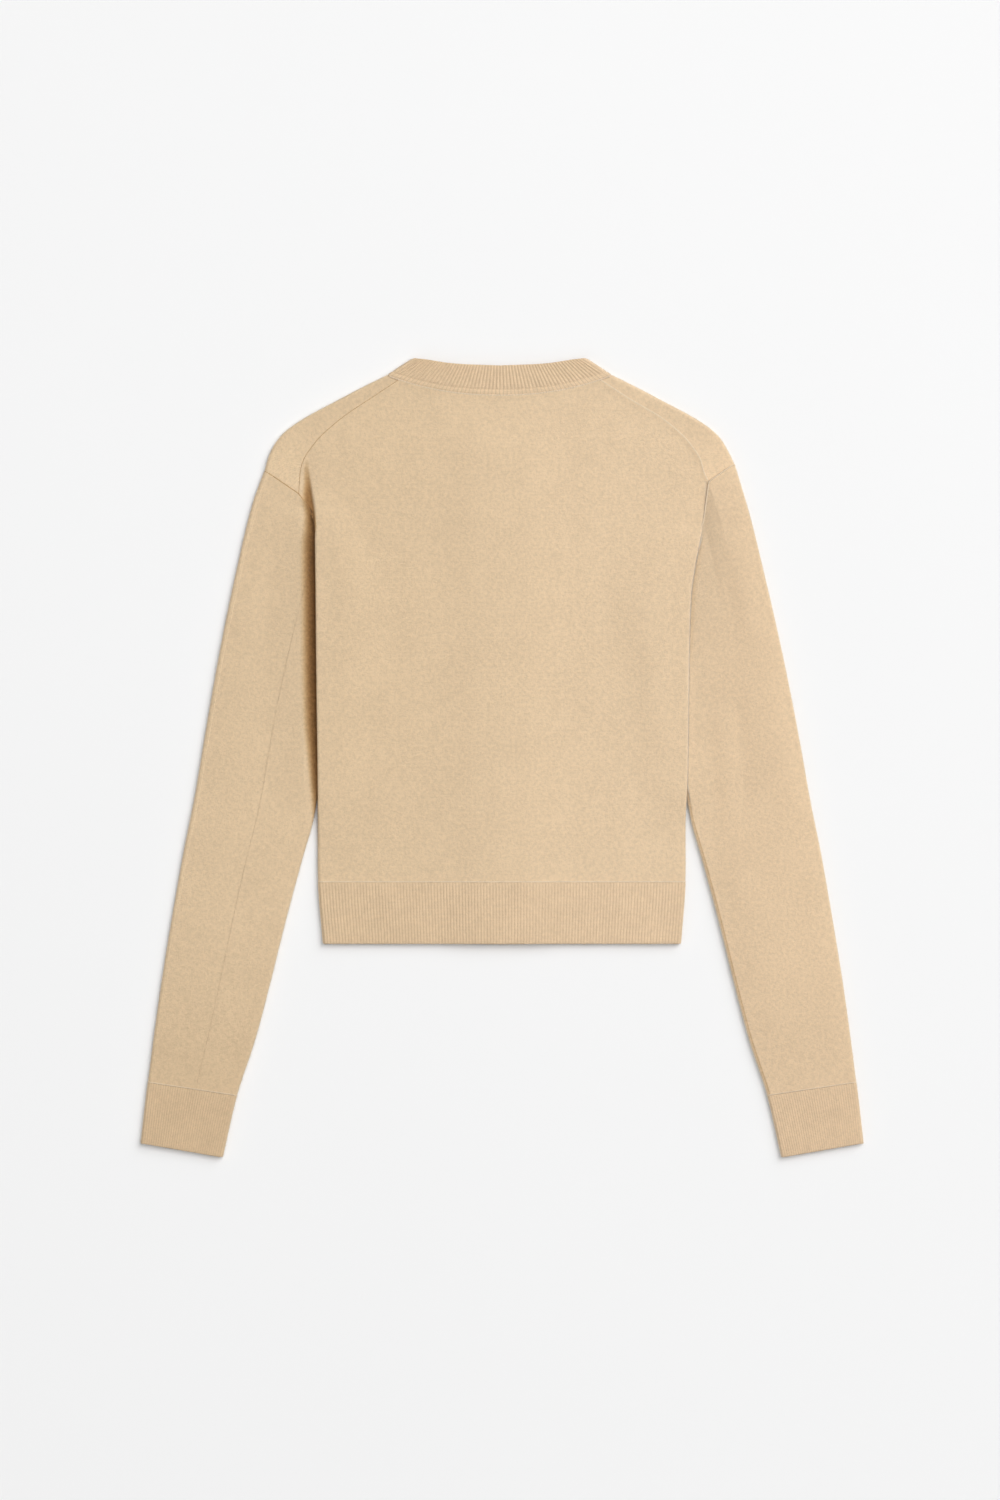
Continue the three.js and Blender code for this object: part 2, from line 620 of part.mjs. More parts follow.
/** Direction from the sleeve's inner fold to the body. */
const innerOutward = (side, y) => new THREE.Vector2(-side.sign, tableSlope(SLEEVE_INNER, y)).normalize();

/** Points of a fold that turns from the top layer down to the bottom one, both ends included. */
function foldArc(centre, outward, radius, lowerCentre = centre) {
  return fractions(ARC_STEPS).map((f) => {
    const angle = Math.PI * f;
    const plan = centre.clone().lerp(lowerCentre, f).addScaledVector(outward, radius * Math.sin(angle));
    return raise(plan, radius * (1 + Math.cos(angle)));
  });
}

/** One ring of a flat tube: over the top to the outer fold, round it, back below, round the inner fold. */
function flatRing({ inner, outer, top, bottom }) {
  const outerArc = foldArc(outer.centre, outer.outward, outer.radius);
  const innerArc = foldArc(inner.centre, inner.outward, inner.radius).reverse();
  return [...innerArc, ...top, ...outerArc, ...bottom];
}

/** Radius of the sleeve's inner fold: pressed under the body, free below it. */
const innerRadius = (y) => lerp(FOLD, PRESSED_FOLD, smoothstep(y, PRESS_Y.from, PRESS_Y.to));

/** Height of a sleeve's upper face before the body lies on it, f from the inner fold to the outer one. */
function looseTop(f, low) {
  return lerp(low, 2 * FOLD, smoothstep(f, 0, INNER_RISE_PART)) + SLEEVE_CROWN * Math.sin(Math.PI * f);
}

/** How fully the body presses a sleeve down at a point: wholly under its side fold, fading outward. */
function pressed(side, x, y) {
  const outboard = Math.abs(x - lean(y)) - bodyEdge(side, y);
  const belowCorner = 1 - smoothstep(y, side.foldStart.y - FRONT_FLAT, side.corner.y + FRONT_FLAT);
  const aboveHem = smoothstep(y, PRESS_Y.from, PRESS_Y.to);
  return aboveHem * belowCorner * (1 - smoothstep(outboard, PRESS_REACH.from, PRESS_REACH.to));
}

// ------------------------------------------------------------------ sleeves and cuffs

/** The sleeve seam on the back, as even fractions from the underarm to the sleeve seam's top. */
function backArmhole(side, from, to) {
  const corners = [from, side.foldStart, side.corner, to];
  const path = new THREE.CurvePath();
  for (let k = 1; k < corners.length; k += 1) path.add(new THREE.LineCurve(corners[k - 1], corners[k]));
  return (f) => path.getPointAt(f);
}

function makeSleeve(side) {
  const offSeam = sleeveSeamOutward(side).multiplyScalar(SEAM_GAP + SEAM_SPARE);
  const fold = (point, outward, radius) => (
    { centre: point.clone().addScaledVector(outward, -radius), outward, radius }
  );
  const head = {
    outer: fold(side.head, headOutward(side), FOLD),
    inner: fold(underarm(side), innerOutward(side, UNDERARM_Y), PRESSED_FOLD),
  };
  const backSeam = backArmhole(side, head.inner.centre, head.outer.centre);
  const ring = (inner, outer, bow, y) => {
    const topPoint = (f) => {
      const seam = backSeam(f).sub(head.inner.centre.clone().lerp(head.outer.centre, f));
      const plan = inner.centre.clone().lerp(outer.centre, f).addScaledVector(seam, bow);
      const loose = looseTop(f, 2 * inner.radius);
      return raise(plan, lerp(loose, UNDERLAP_TOP, pressed(side, plan.x, plan.y)));
    };
    const bottomPoint = (f) => {
      const seam = frontArmhole(side, f).sub(underarm(side).lerp(head.outer.centre, f));
      return raise(inner.centre.clone().lerp(outer.centre, f).addScaledVector(seam, bow), 0);
    };
    const top = fractions(SLEEVE_TOP_COLUMNS).slice(1, -1).map(topPoint);
    const bottom = fractions(ARMHOLE_STEPS).slice(1, -1).reverse().map(bottomPoint);
    return flatRing({ inner, outer, top, bottom });
  };
  const rows = SLEEVE_ROWS.map((row, k) => {
    const outerFold = planPoint(side, readTable(OUTLINE, 'half', row.outer), row.outer);
    const innerFold = planPoint(side, readTable(SLEEVE_INNER, 'half', row.inner), row.inner);
    const outer = fold(outerFold, outlineOutward(side, row.outer), FOLD);
    const inner = fold(innerFold, innerOutward(side, row.inner), innerRadius(row.inner));
    return ring(inner, outer, smoothstep(k / SLEEVE_ROWS.length, BOW_START, 1) ** BOW_POWER);
  });
  rows.push(ring(head.inner, head.outer, 1).map((p) => p.add(raise(offSeam, 0))));
  const facing = side.sign > 0 ? rows : reversed(rows);
  return piece(`sleeve_${side.name}`, clothWall(facing, { wall: CLOTH, tube: true }), knitFinish());
}

function makeCuff(side) {
  const ringAt = (outerY, innerY) => {
    const outerOut = outlineOutward(side, outerY);
    const innerOut = innerOutward(side, innerY);
    const outerFold = planPoint(side, readTable(OUTLINE, 'half', outerY), outerY);
    const innerFold = planPoint(side, readTable(SLEEVE_INNER, 'half', innerY), innerY);
    const outer = { centre: outerFold.addScaledVector(outerOut, -FOLD), outward: outerOut, radius: FOLD };
    const inner = { centre: innerFold.addScaledVector(innerOut, -FOLD), outward: innerOut, radius: FOLD };
    const along = (f) => inner.centre.clone().lerp(outer.centre, f);
    const top = fractions(2 * CUFF_RIBS).slice(1, -1).map((f) => raise(along(f), 2 * FOLD));
    const bottom = fractions(ARMHOLE_STEPS).slice(1, -1).reverse().map((f) => raise(along(f), 0));
    return flatRing({ inner, outer, top, bottom });
  };
  const rows = [ringAt(CUFF_EDGE.outer, CUFF_EDGE.inner), ringAt(CUFF_TOP.outer, CUFF_TOP.inner)];
  const topStart = ARC_STEPS;
  const topEnd = ARC_STEPS + 2 * CUFF_RIBS;
  const count = rows[0].length;
  const relief = (i) => {
    const column = side.sign > 0 ? i : count - 1 - i;
    return column > topStart && column < topEnd && (column - topStart) % 2 === 1 ? RIB_RISE : 0;
  };
  const facing = side.sign > 0 ? rows : reversed(rows);
  return piece(`cuff_${side.name}`, clothWall(facing, { wall: RIB_WALL, tube: true, relief }), ribFinish());
}

// ------------------------------------------------------------------ hem rib

/** The back's hem rib: ribs side by side from one side fold over the back to the other. */
function makeHemBack() {
  const rowAt = (y) => {
    const edge = (side) => turnedLength(side, y) - SEAM_GAP / 2;
    const tangent = (side) => sideSection(side, y, 0).x;
    const flat = tangent(RIGHT) - tangent(LEFT);
    const length = edge(LEFT) + flat + edge(RIGHT);
    return fractions(2 * HEM_RIBS).map((f) => {
      const along = f * length - edge(LEFT);
      if (along < 0) return sideSection(LEFT, y, -along);
      if (along > flat) return sideSection(RIGHT, y, along - flat);
      const x = tangent(LEFT) + along;
      return new THREE.Vector3(x, y, backTop(x, y));
    });
  };
  const rows = [rowAt(HEM_BOTTOM_Y), rowAt(HEM_TOP_Y)];
  const relief = (i) => (i % 2 === 1 ? RIB_RISE : 0);
  return piece('hem_rib_back', clothWall(rows, { wall: RIB_WALL, relief }), ribFinish());
}

function makeHemFront(side) {
  const rows = fractions(2).map((f) => frontLowRow(side, lerp(HEM_BOTTOM_Y, HEM_TOP_Y - HEM_SPARE, f)));
  const facing = side.sign < 0 ? reversed(rows) : rows;
  return piece(`hem_rib_front_${side.name}`, clothWall(facing, { wall: RIB_WALL }), ribFinish());
}

// ------------------------------------------------------------------ neckband

function makeNeckband() {
  const fromSeam = SEAM_GAP + NECK_SPARE;
  const leaned = (side, half, y) => new THREE.Vector2(SHOULDER_LEAN + side.sign * half, y);
  const attachedFold = (side) => {
    const { x, y } = neckOutward(side);
    const fromBody = new THREE.Vector2(-side.sign * y, Math.abs(x));
    return leaned(side, NECK_HALF, NECK_Y).addScaledVector(fromBody, fromSeam);
  };
  const freeTop = (side) => leaned(side, FREE_TOP.half, FREE_TOP.y);
  const freeBottom = (side) => leaned(side, FREE_BOTTOM.half, FREE_BOTTOM.y);
  const front = (side, v) => fractions(NECK_STEPS).slice(0, -1).map((f) => {
    const angle = LOWEST_NECK * (1 - f);
    const attached = frontNeck(side, angle);
    attached.x -= side.sign * fromSeam * Math.cos(angle);
    attached.y += fromSeam * Math.sin(angle);
    const freeX = freeBottom(side).x * Math.cos(angle);
    const free = new THREE.Vector2(freeX, FREE_BOTTOM.y - FREE_FRONT_DEPTH * Math.sin(angle));
    const plan = attached.lerp(free, v);
    if (f === 0) plan.x = side.sign * (BAND_HALF + SEAM_GAP);
    return raise(plan, bandLift(side, plan.x, plan.y));
  });
  const turn = (side, v) => {
    const between = (end) => attachedFold(side).lerp(end, v);
    const arc = foldArc(between(freeTop(side)), neckOutward(side), FOLD, between(freeBottom(side)));
    return arc.reverse();
  };
  const back = (v) => fractions(2 * NECK_RIBS).slice(1, -1).map((f) => {
    const attachedX = lerp(attachedFold(LEFT).x, attachedFold(RIGHT).x, f);
    const freeX = lerp(freeTop(LEFT).x, freeTop(RIGHT).x, f);
    const attached = new THREE.Vector2(attachedX, backNeckY(attachedX) + SEAM_GAP);
    const free = new THREE.Vector2(freeX, readTable(FREE_EDGE, 'rise', Math.abs(freeX - SHOULDER_LEAN)));
    const plan = attached.lerp(free, v);
    return raise(plan, 2 * FOLD);
  });
  const rows = [0, 1].map((v) => {
    const leftPart = [...front(LEFT, v), ...turn(LEFT, v)];
    const rightPart = [...front(RIGHT, v), ...turn(RIGHT, v)];
    return [...leftPart, ...back(v), ...rightPart.reverse()];
  });
  const ribStart = NECK_STEPS + ARC_STEPS;
  const ribEnd = ribStart + 2 * NECK_RIBS;
  const relief = (i) => (i > ribStart && i < ribEnd && (i - ribStart) % 2 === 1 ? RIB_RISE : 0);
  return piece('neckband', clothWall(rows, { wall: RIB_WALL, relief }), ribFinish());
}

// ------------------------------------------------------------------ bands and buttons

const buttonYs = fractions(BUTTON_COUNT - 1).map((f) => lerp(BUTTON_FIRST_Y, BUTTON_LAST_Y, f));

/** A long band under the back's middle, low enough to lie on the floor and lifted over each button. */
function makeBand(name, raisedBy) {
  const upSide = fractions(2).map((f) => BUTTON_RADIUS + lerp(LIFT_RUN.from, LIFT_RUN.to, f));
  const nearButton = [...upSide.map((d) => -d).reverse(), ...upSide];
  const nearAll = buttonYs.flatMap((y) => nearButton.map((d) => y + d));
  const ys = nearAll.filter((y) => y > HEM_BOTTOM_Y && y < BAND_TOP_Y);
  const rows = [HEM_BOTTOM_Y, ...ys, BAND_TOP_Y].map((y) => (
    [BAND_HALF, 0, -BAND_HALF].map((x) => new THREE.Vector3(x, y, raisedBy + buttonLift(y)))
  ));
  return piece(name, clothWall(rows, { wall: RIB_WALL }), ribFinish());
}

/** A round button, its dished face down. */
function makeButton(name, y) {
  const profile = [
    [0, BUTTON_DISH], [BUTTON_FACE - 1, BUTTON_DISH], [BUTTON_FACE, 0], [BUTTON_RADIUS, BUTTON_DISH],
    [BUTTON_RADIUS - BUTTON_DISH, BUTTON_THICKNESS], [0, BUTTON_THICKNESS],
  ];
  const section = profile.map(([r, z]) => new THREE.Vector2(r, z));
  const geometry = new THREE.LatheGeometry(section, BUTTON_SIDES);
  geometry.rotateX(Math.PI / 2);
  const mesh = piece(name, geometry, buttonFinish());
  mesh.position.set(0, y, 0);
  return mesh;
}

// ------------------------------------------------------------------ assembly

const cardigan = new THREE.Group();
cardigan.position.y = -CENTRE_Y;
cardigan.add(makeBack(), makeHemBack(), makeNeckband());
for (const side of [LEFT, RIGHT]) {
  cardigan.add(makeFront(side), makeSleeve(side), makeCuff(side), makeHemFront(side));
}
cardigan.add(makeBand('buttonhole_band', 0), makeBand('button_band', RIB_WALL + LAYER_GAP));
buttonYs.forEach((y, k) => cardigan.add(makeButton(`button_${k + 1}`, y)));

export default cardigan;
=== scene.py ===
"""A cropped button cardigan in fine milled knit, buttoned up and laid flat on its front.

Sizes are in millimetres until a mesh is made. +Y runs to the neck and +Z up, the surface that the
garment lies on is z = 0, and the wearer's left is at -X. The front panels lie lowest, the back on
top of them, and both sides of the body lie a little over the sleeves.
"""

import logging
import math
from abc import ABC, abstractmethod
from dataclasses import dataclass, replace
from enum import Enum
from typing import Any, Sequence

import bpy
import numpy as np
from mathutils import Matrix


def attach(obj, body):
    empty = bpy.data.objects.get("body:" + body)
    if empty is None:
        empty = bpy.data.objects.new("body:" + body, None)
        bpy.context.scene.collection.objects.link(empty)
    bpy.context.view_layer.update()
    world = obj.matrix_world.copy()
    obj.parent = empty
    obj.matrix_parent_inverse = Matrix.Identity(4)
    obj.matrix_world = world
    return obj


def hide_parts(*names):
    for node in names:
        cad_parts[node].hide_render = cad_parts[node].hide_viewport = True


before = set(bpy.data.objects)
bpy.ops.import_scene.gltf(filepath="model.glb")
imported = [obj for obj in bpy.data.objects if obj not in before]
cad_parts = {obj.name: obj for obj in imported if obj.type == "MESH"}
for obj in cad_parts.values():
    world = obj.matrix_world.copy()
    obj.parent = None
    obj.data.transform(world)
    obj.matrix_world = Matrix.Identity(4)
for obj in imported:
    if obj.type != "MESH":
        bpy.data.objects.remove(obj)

LOG = logging.getLogger("cardigan")
Array = np.ndarray
Rows = tuple[tuple[float, float], ...]
MM = 0.001
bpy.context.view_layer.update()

# ------------------------------------------------------------------ general shapes


def smoothstep(x: Array | float, low: float, high: float) -> Array:
    """0 below low, 1 above high and the cubic 3t^2 - 2t^3 between them."""
    t = np.clip((np.asarray(x, float) - low) / (high - low), 0, 1)
    return t * t * (3 - 2 * t)


def falling(x: Array | float, low: float, high: float) -> Array:
    """1 below low, 0 above high and smooth between them."""
    return 1 - smoothstep(x, low, high)


def hermite(low: Array, high: Array, low_slope: Array, high_slope: Array, t: Array) -> Array:
    """A cubic from low, at t = 0, to high, at t = 1, with slopes by t there."""
    from_low = 2 * t**3 - 3 * t**2 + 1
    ends = low * from_low + high * (1 - from_low)
    return ends + low_slope * (t**3 - 2 * t**2 + t) + high_slope * (t**3 - t**2)


def read_table(rows: Rows, y: Array | float) -> Array:
    """Value of a table at y, on a cubic Hermite curve whose slope at a row is that between its neighbours.

    Args:
        rows: Pairs of y and value, which go up in y.
        y: Where to read it.

    Returns:
        The values, in the shape of y.
    """
    ys, values = np.array(rows, float).T
    last = len(ys) - 1
    k = np.clip(np.searchsorted(ys, y, side="left") - 1, 0, last - 1)
    before, after = np.maximum(k - 1, 0), np.minimum(k + 2, last)
    step = ys[k + 1] - ys[k]
    t = np.clip((y - ys[k]) / step, 0, 1)
    low_slope = step * (values[k + 1] - values[before]) / (ys[k + 1] - ys[before])
    high_slope = step * (values[after] - values[k]) / (ys[after] - ys[k])
    return hermite(values[k], values[k + 1], low_slope, high_slope, t)


class Spline:
    """A smooth plan curve through points, a uniform Catmull-Rom spline, read by its length."""

    def __init__(self, points: Sequence[Sequence[float]]) -> None:
        """Sample the spline through the points closely enough to read it by length."""
        p = np.array(points, float)
        p = np.vstack([p[0], p, p[-1]])
        spans = len(p) - 3
        t = np.linspace(0, spans, spans * 40 + 1)
        k = np.minimum(t.astype(int), spans - 1)
        f = (t - k)[:, None]
        a, b, c, d = p[k], p[k + 1], p[k + 2], p[k + 3]
        self.points = hermite(b, c, (c - a) / 2, (d - b) / 2, f)
        self.distances = running_length(self.points)
        self.length = float(self.distances[-1])

    def at(self, distance: Array) -> Array:
        """Points at distances along the curve."""
        return on_line(self.points, self.distances, distance)

    def tangent(self, distance: Array) -> Array:
        """Unit directions of the curve at distances along it."""
        return unit(self.at(distance + 0.5) - self.at(distance - 0.5))


def unit(vectors: Array) -> Array:
    """The vectors, each made of length 1."""
    return vectors / np.maximum(np.linalg.norm(vectors, axis=-1, keepdims=True), 1e-9)


def running_length(points: Array) -> Array:
    """Length along a line of points at each of them, along the second last axis."""
    steps = np.linalg.norm(np.diff(points, axis=-2), axis=-1)
    zero = np.zeros(steps.shape[:-1] + (1,))
    return np.concatenate([zero, np.cumsum(steps, -1)], -1)


def on_line(points: Array, distances: Array, distance: Array) -> Array:
    """Points of a line of straight spans at distances along it, from its points' own distances."""
    return np.stack([np.interp(distance, distances, column) for column in points.T], -1)


def wrapped(grid: Array) -> Array:
    """A grid with its first column again after the last."""
    return np.concatenate([grid, grid[:, :1]], 1)


def mix(a: Array | float, b: Array | float, t: Array | float) -> Array:
    """a where t is 0, b where t is 1."""
    return a + (b - a) * t


def stacked(*parts: Array | float) -> Array:
    """Parts, broadcast to one shape, side by side on a new last axis."""
    return np.stack(np.broadcast_arrays(*parts), -1)


def raised(plan: Array, z: Array | float) -> Array:
    """Plan points with heights as their third coordinate."""
    return np.concatenate([plan, np.broadcast_to(z, plan.shape[:-1])[..., None]], -1)


def at_knots(values: Array, t: Array) -> Array:
    """Values between knots, on straight lines: t counts knots along the last axis."""
    k = np.clip(np.floor(t).astype(int), 0, values.shape[-1] - 2)
    return values[..., k] * (1 - (t - k)) + values[..., k + 1] * (t - k)


EDGE_STEPS = (0.0, 0.08, 0.3, 0.6)  # parts of the first and last knot spans, for a rounded edge
EDGE_GAPS = (0.0, 0.12, 0.4, 0.9)  # distances from a rounded edge


def spread(counts: Sequence[int], close_start: bool = False, close_end: bool = False) -> Array:
    """Parameters that divide each span between knots evenly, with closer ones beside a rounded edge.

    Args:
        counts: How many parts each span has.
        close_start: Whether the first span has the steps of a rounded edge.
        close_end: Whether the last span has them.

    Returns:
        Parameters from 0 to the number of spans.
    """
    spans = [k + np.arange(n) / n for k, n in enumerate(counts)]
    if close_start:
        spans[0] = np.array(EDGE_STEPS)
    if close_end:
        spans[-1] = len(counts) - 1 + np.sort(1 - np.array(EDGE_STEPS[1:]))
        spans[-1] = np.concatenate([[len(counts) - 1.0], spans[-1]])
    return np.concatenate([*spans, [float(len(counts))]])


def evenly(low: float, high: float, step: float, close_low: bool = True, close_high: bool = True) -> Array:
    """Values from low to high about step apart, closer beside each end that is a rounded edge."""
    edge = np.array(EDGE_GAPS)
    start = low + (edge if close_low else edge[:1])
    end = high - (edge if close_high else edge[:1])[::-1]
    count = max(int(round((end[0] - start[-1]) / step)), 1)
    return np.concatenate([start, np.linspace(start[-1], end[0], count + 1)[1:-1], end])


def value_noise(x: Array, y: Array, size: float, seed: int) -> Array:
    """Smooth noise from -1 to 1: seeded numbers on a square lattice of that size, blended cubically."""
    lattice = np.random.default_rng(seed).uniform(-1, 1, (128, 128))
    gx, gy = x / size + 64, y / size + 64
    i, j = np.floor(gx).astype(int), np.floor(gy).astype(int)
    fx, fy = smoothstep(gx - i, 0, 1), smoothstep(gy - j, 0, 1)
    i, j = i % 127, j % 127
    low = mix(lattice[i, j], lattice[i + 1, j], fx)
    high = mix(lattice[i, j + 1], lattice[i + 1, j + 1], fx)
    return mix(low, high, fy)


@dataclass(frozen=True)
class Crease:
    """A soft ridge or hollow in the cloth along a straight line.

    The height is that of a bell curve across the line, and it fades toward both ends.
    """

    start: tuple[float, float]
    end: tuple[float, float]
    width: float
    height: float

    def lift(self, x: Array, y: Array) -> Array:
        """Height added at plan points."""
        a, b = np.array(self.start), np.array(self.end)
        along = (b - a) / np.linalg.norm(b - a)
        s = ((x - a[0]) * along[0] + (y - a[1]) * along[1]) / np.linalg.norm(b - a)
        off = (x - a[0]) * along[1] - (y - a[1]) * along[0]
        fade = smoothstep(s, -0.15, 0.3) * falling(s, 0.7, 1.15)
        return self.height * fade * np.exp(-((off / self.width) ** 2))


# ------------------------------------------------------------------ meshes


class Edge(Enum):
    """How an edge of cloth is finished, with how far round it the wall is, as a part of its thickness."""

    FREE = 0.42
    SEWN = 0.2
    KNITTED = 0.0


BODY_EDGES = (Edge.KNITTED, Edge.SEWN, Edge.SEWN, Edge.SEWN)
RIB_EDGES = (Edge.FREE, Edge.KNITTED, Edge.SEWN, Edge.SEWN)


def point_numbers(rows: int, columns: int, closed: bool) -> Array:
    """Numbers of a grid's points; where it is closed, the first column comes again after the last."""
    index = np.arange(rows * columns).reshape(rows, columns)
    return wrapped(index) if closed else index


def around(a: Array, b: Array, c: Array, d: Array) -> Array:
    """Quads from arrays of their four corners, in order."""
    return np.stack([a, b, c, d], -1).reshape(-1, 4)


def wall_quads(index: Array, below: Array, tube: bool) -> Array:
    """Quads of a closed wall: outer face, inner face turned over, and rims.

    Args:
        index: Numbers of the outer points, as a grid.
        below: Numbers of the inner ones.
        tube: Whether the first and last columns join, so that they need no rim.

    Returns:
        Corner numbers, four to a quad.
    """
    quads = [
        around(index[:-1, :-1], index[:-1, 1:], index[1:, 1:], index[1:, :-1]),
        around(below[:-1, :-1], below[1:, :-1], below[1:, 1:], below[:-1, 1:]),
        around(index[0, 1:], index[0, :-1], below[0, :-1], below[0, 1:]),
        around(index[-1, :-1], index[-1, 1:], below[-1, 1:], below[-1, :-1]),
    ]
    if not tube:
        quads.append(around(index[:-1, 0], index[1:, 0], below[1:, 0], below[:-1, 0]))
        quads.append(around(index[1:, -1], index[:-1, -1], below[:-1, -1], below[1:, -1]))
    return np.concatenate(quads)


PAINTED_RIM_LIGHT = -0.42  # the most painted light: rims that turn away are painted paler, down to this depth
SEAM_PAINTED_SHADES = (0.4, -0.15)  # painted shade of a seam's yarn on the shaded side, and painted light on the lit side
SEAM_SINK = 0.82  # how far it lies below the cloth's face in shade


@dataclass
class Cloth:
    """A wall of cloth over a grid of points on its outer face.

    Attributes:
        grid: Outer points, as rows, columns, 3. Their normals point out where columns then rows turn left.
        uv: Millimetres across and along the wales, as rows, columns, 2; a tube has one more column.
        wall: Thickness.
        tube: Whether the last column joins the first.
        relief: Height added to outer points along their normals.
        edges: Finish of the first row, last row, first column and last column.
        depth: Shade painted at each point by how deep in a fold it lies, 0 to 1: the colour is painted
            darker and warmer there, and paler, as painted light, below 0.
    """

    grid: Array
    uv: Array
    wall: float
    tube: bool = False
    relief: Array | float = 0.0
    edges: tuple[Edge, Edge, Edge, Edge] = BODY_EDGES
    # painted shade and painted light, which the material reads as the depth attribute
    depth: Array | float = 0.0

    def facing(self, sign: int) -> "Cloth":
        """The wall for a side: made for the right one, it runs the other way on the left to face out."""
        if sign > 0:
            return self
        parts = (np.asarray(part, float) for part in (self.relief, self.depth))
        relief, depth = (np.broadcast_to(part, self.grid.shape[:2])[:, ::-1] for part in parts)
        grid = np.ascontiguousarray(self.grid[:, ::-1])
        return replace(self, grid=grid, uv=self.uv[:, ::-1], relief=relief, depth=depth)

    def point_painted_shade(self) -> Array:
        """Painted shade of outer and inner points, in the order of faces(); rims that turn away get painted
        light, most on the side away from the lamps.
        """
        normals = self.normals()
        depth = np.broadcast_to(np.asarray(self.depth, float), self.grid.shape[:2])
        away_from_light = 0.5 + 0.5 * smoothstep(-normals[..., 0] - normals[..., 1], -0.2, 0.6)
        # painted light on rims: paler where the cloth turns away, and most where it faces away from the
        # lamps at the upper right
        rim = PAINTED_RIM_LIGHT * smoothstep(1 - normals[..., 2], 0.2, 0.8) * away_from_light * (1 - np.clip(depth * 3, 0, 1))
        return np.concatenate([np.maximum(depth + rim, PAINTED_RIM_LIGHT).ravel(), depth.ravel()])

    def seam_line(self, row: int, gap: float) -> tuple[Array, Array, Array]:
        """A line just past a row's edge, with the surface's normals and the painted shade of the yarn
        there.

        The shoulder and sleeve seams lie lower on the wearer's left side, with shade painted on their yarn
        there and light painted on it on the right side.

        Args:
            row: 0 for the first row, -1 for the last.
            gap: How far past the edge the line lies.

        Returns:
            Points, unit normals and painted shades.
        """
        inner_row = 1 if row == 0 else -2
        normals, ends = self.normals()[row], self.grid[row]
        past = unit(ends - self.grid[inner_row])
        lit = np.maximum(smoothstep(ends[:, 0], -60, 60), row == 0)
        shadow = VALLEY.depth(ends[:, 0], ends[:, 1])
        # painted shade on the seams of the shaded left side, and painted light on the lit right side
        depth = mix(*SEAM_PAINTED_SHADES, lit)
        depth = np.where(shadow > 0, np.maximum(depth, shadow), depth)
        sink = mix(SEAM_SINK, 0.0, lit * (normals[:, 2] > 0.5))
        return ends + past * gap - normals * sink[:, None], normals, depth

    def normals(self) -> Array:
        """Outward unit normals: the differences across columns crossed with those across rows."""
        if self.tube:
            across = np.roll(self.grid, -1, 1) - np.roll(self.grid, 1, 1)
        else:
            across = np.gradient(self.grid, axis=1)
        return unit(np.cross(across, np.gradient(self.grid, axis=0)))

    def inset(self) -> Array:
        """How far the faces draw in beside the edges: r - sqrt(r^2 - (r - s)^2) at s from an edge."""
        along = running_length(np.swapaxes(self.grid, 0, 1)).T
        across = running_length(self.grid)
        from_edges = [along, along[-1:] - along, across, across[:, -1:] - across]
        total = np.zeros(self.grid.shape[:2])
        for edge, distance in list(zip(self.edges, from_edges))[: 2 if self.tube else 4]:
            r = max(edge.value * self.wall, 1e-6)
            inward = np.clip(r - distance, 0, r)
            total = np.maximum(total, r - np.sqrt(r * r - inward**2))
        return total

    def faces(self) -> tuple[Array, Array]:
        """Points and quads of the closed wall: outer face, inner face turned over, and rims."""
        normals, inset = self.normals(), self.inset()[..., None]
        relief = np.broadcast_to(np.asarray(self.relief, float), self.grid.shape[:2])[..., None]
        outer = self.grid + normals * (relief - inset)
        inner = self.grid - normals * (self.wall - inset)
        index = point_numbers(*self.grid.shape[:2], self.tube)
        quads = wall_quads(index, index + outer[..., 0].size, self.tube)
        return np.concatenate([outer.reshape(-1, 3), inner.reshape(-1, 3)]), quads

    def corner_uv(self) -> Array:
        """UV of each quad's corners, in the order of faces()."""
        index = point_numbers(*self.uv.shape[:2], False)
        return self.uv.reshape(-1, 2)[wall_quads(index, index, self.tube)].reshape(-1, 2)


def make_mesh(
    name: str, points: Array, faces: Array, corner_uv: Array | None = None, depth: Array | None = None
) -> bpy.types.Object:
    """Put points and faces of one size into a new smooth mesh object.

    Args:
        name: Name of the object and its mesh.
        points: Points in millimetres, with y from the garment's own middle.
        faces: Corner numbers, as faces, corners.
        corner_uv: UV in millimetres for each corner of each face.
        depth: Shade painted at each point, kept as the depth attribute.

    Returns:
        The new object, linked to the scene.
    """
    mesh = bpy.data.meshes.new(name)
    placed = (points - np.array([0, LAY.centre_y, 0])) * MM
    mesh.vertices.add(len(placed))
    mesh.vertices.foreach_set("co", placed.astype(np.float32).ravel())
    mesh.loops.add(faces.size)
    mesh.loops.foreach_set("vertex_index", faces.astype(np.int32).ravel())
    mesh.polygons.add(len(faces))
    mesh.polygons.foreach_set("loop_start", np.arange(0, faces.size, faces.shape[1], dtype=np.int32))
    if corner_uv is not None:
        layer = mesh.uv_layers.new(name="wales")
        layer.uv.foreach_set("vector", (corner_uv * MM).astype(np.float32).ravel())
    # the depth attribute carries painted shade and painted light
    if depth is not None:
        mesh.attributes.new("depth", "FLOAT", "POINT").data.foreach_set("value", depth.astype(np.float32))
    mesh.polygons.foreach_set("use_smooth", np.ones(len(faces), bool))
    mesh.update(calc_edges=True)
    made = bpy.data.objects.new(name, mesh)
    bpy.context.scene.collection.objects.link(made)
    return made


CORD_RADIUS = 0.7
CORD_STEP = 0.55  # length of a cord's spans
LOOP_LENGTH = 2.2
CORD_SIDES = 6
HEXAGON = np.array([[0, 1, 2, 3], [0, 3, 4, 5]])
OCTAGON = np.array([[0, 1, 2, 3], [0, 3, 4, 7], [7, 4, 5, 6]])


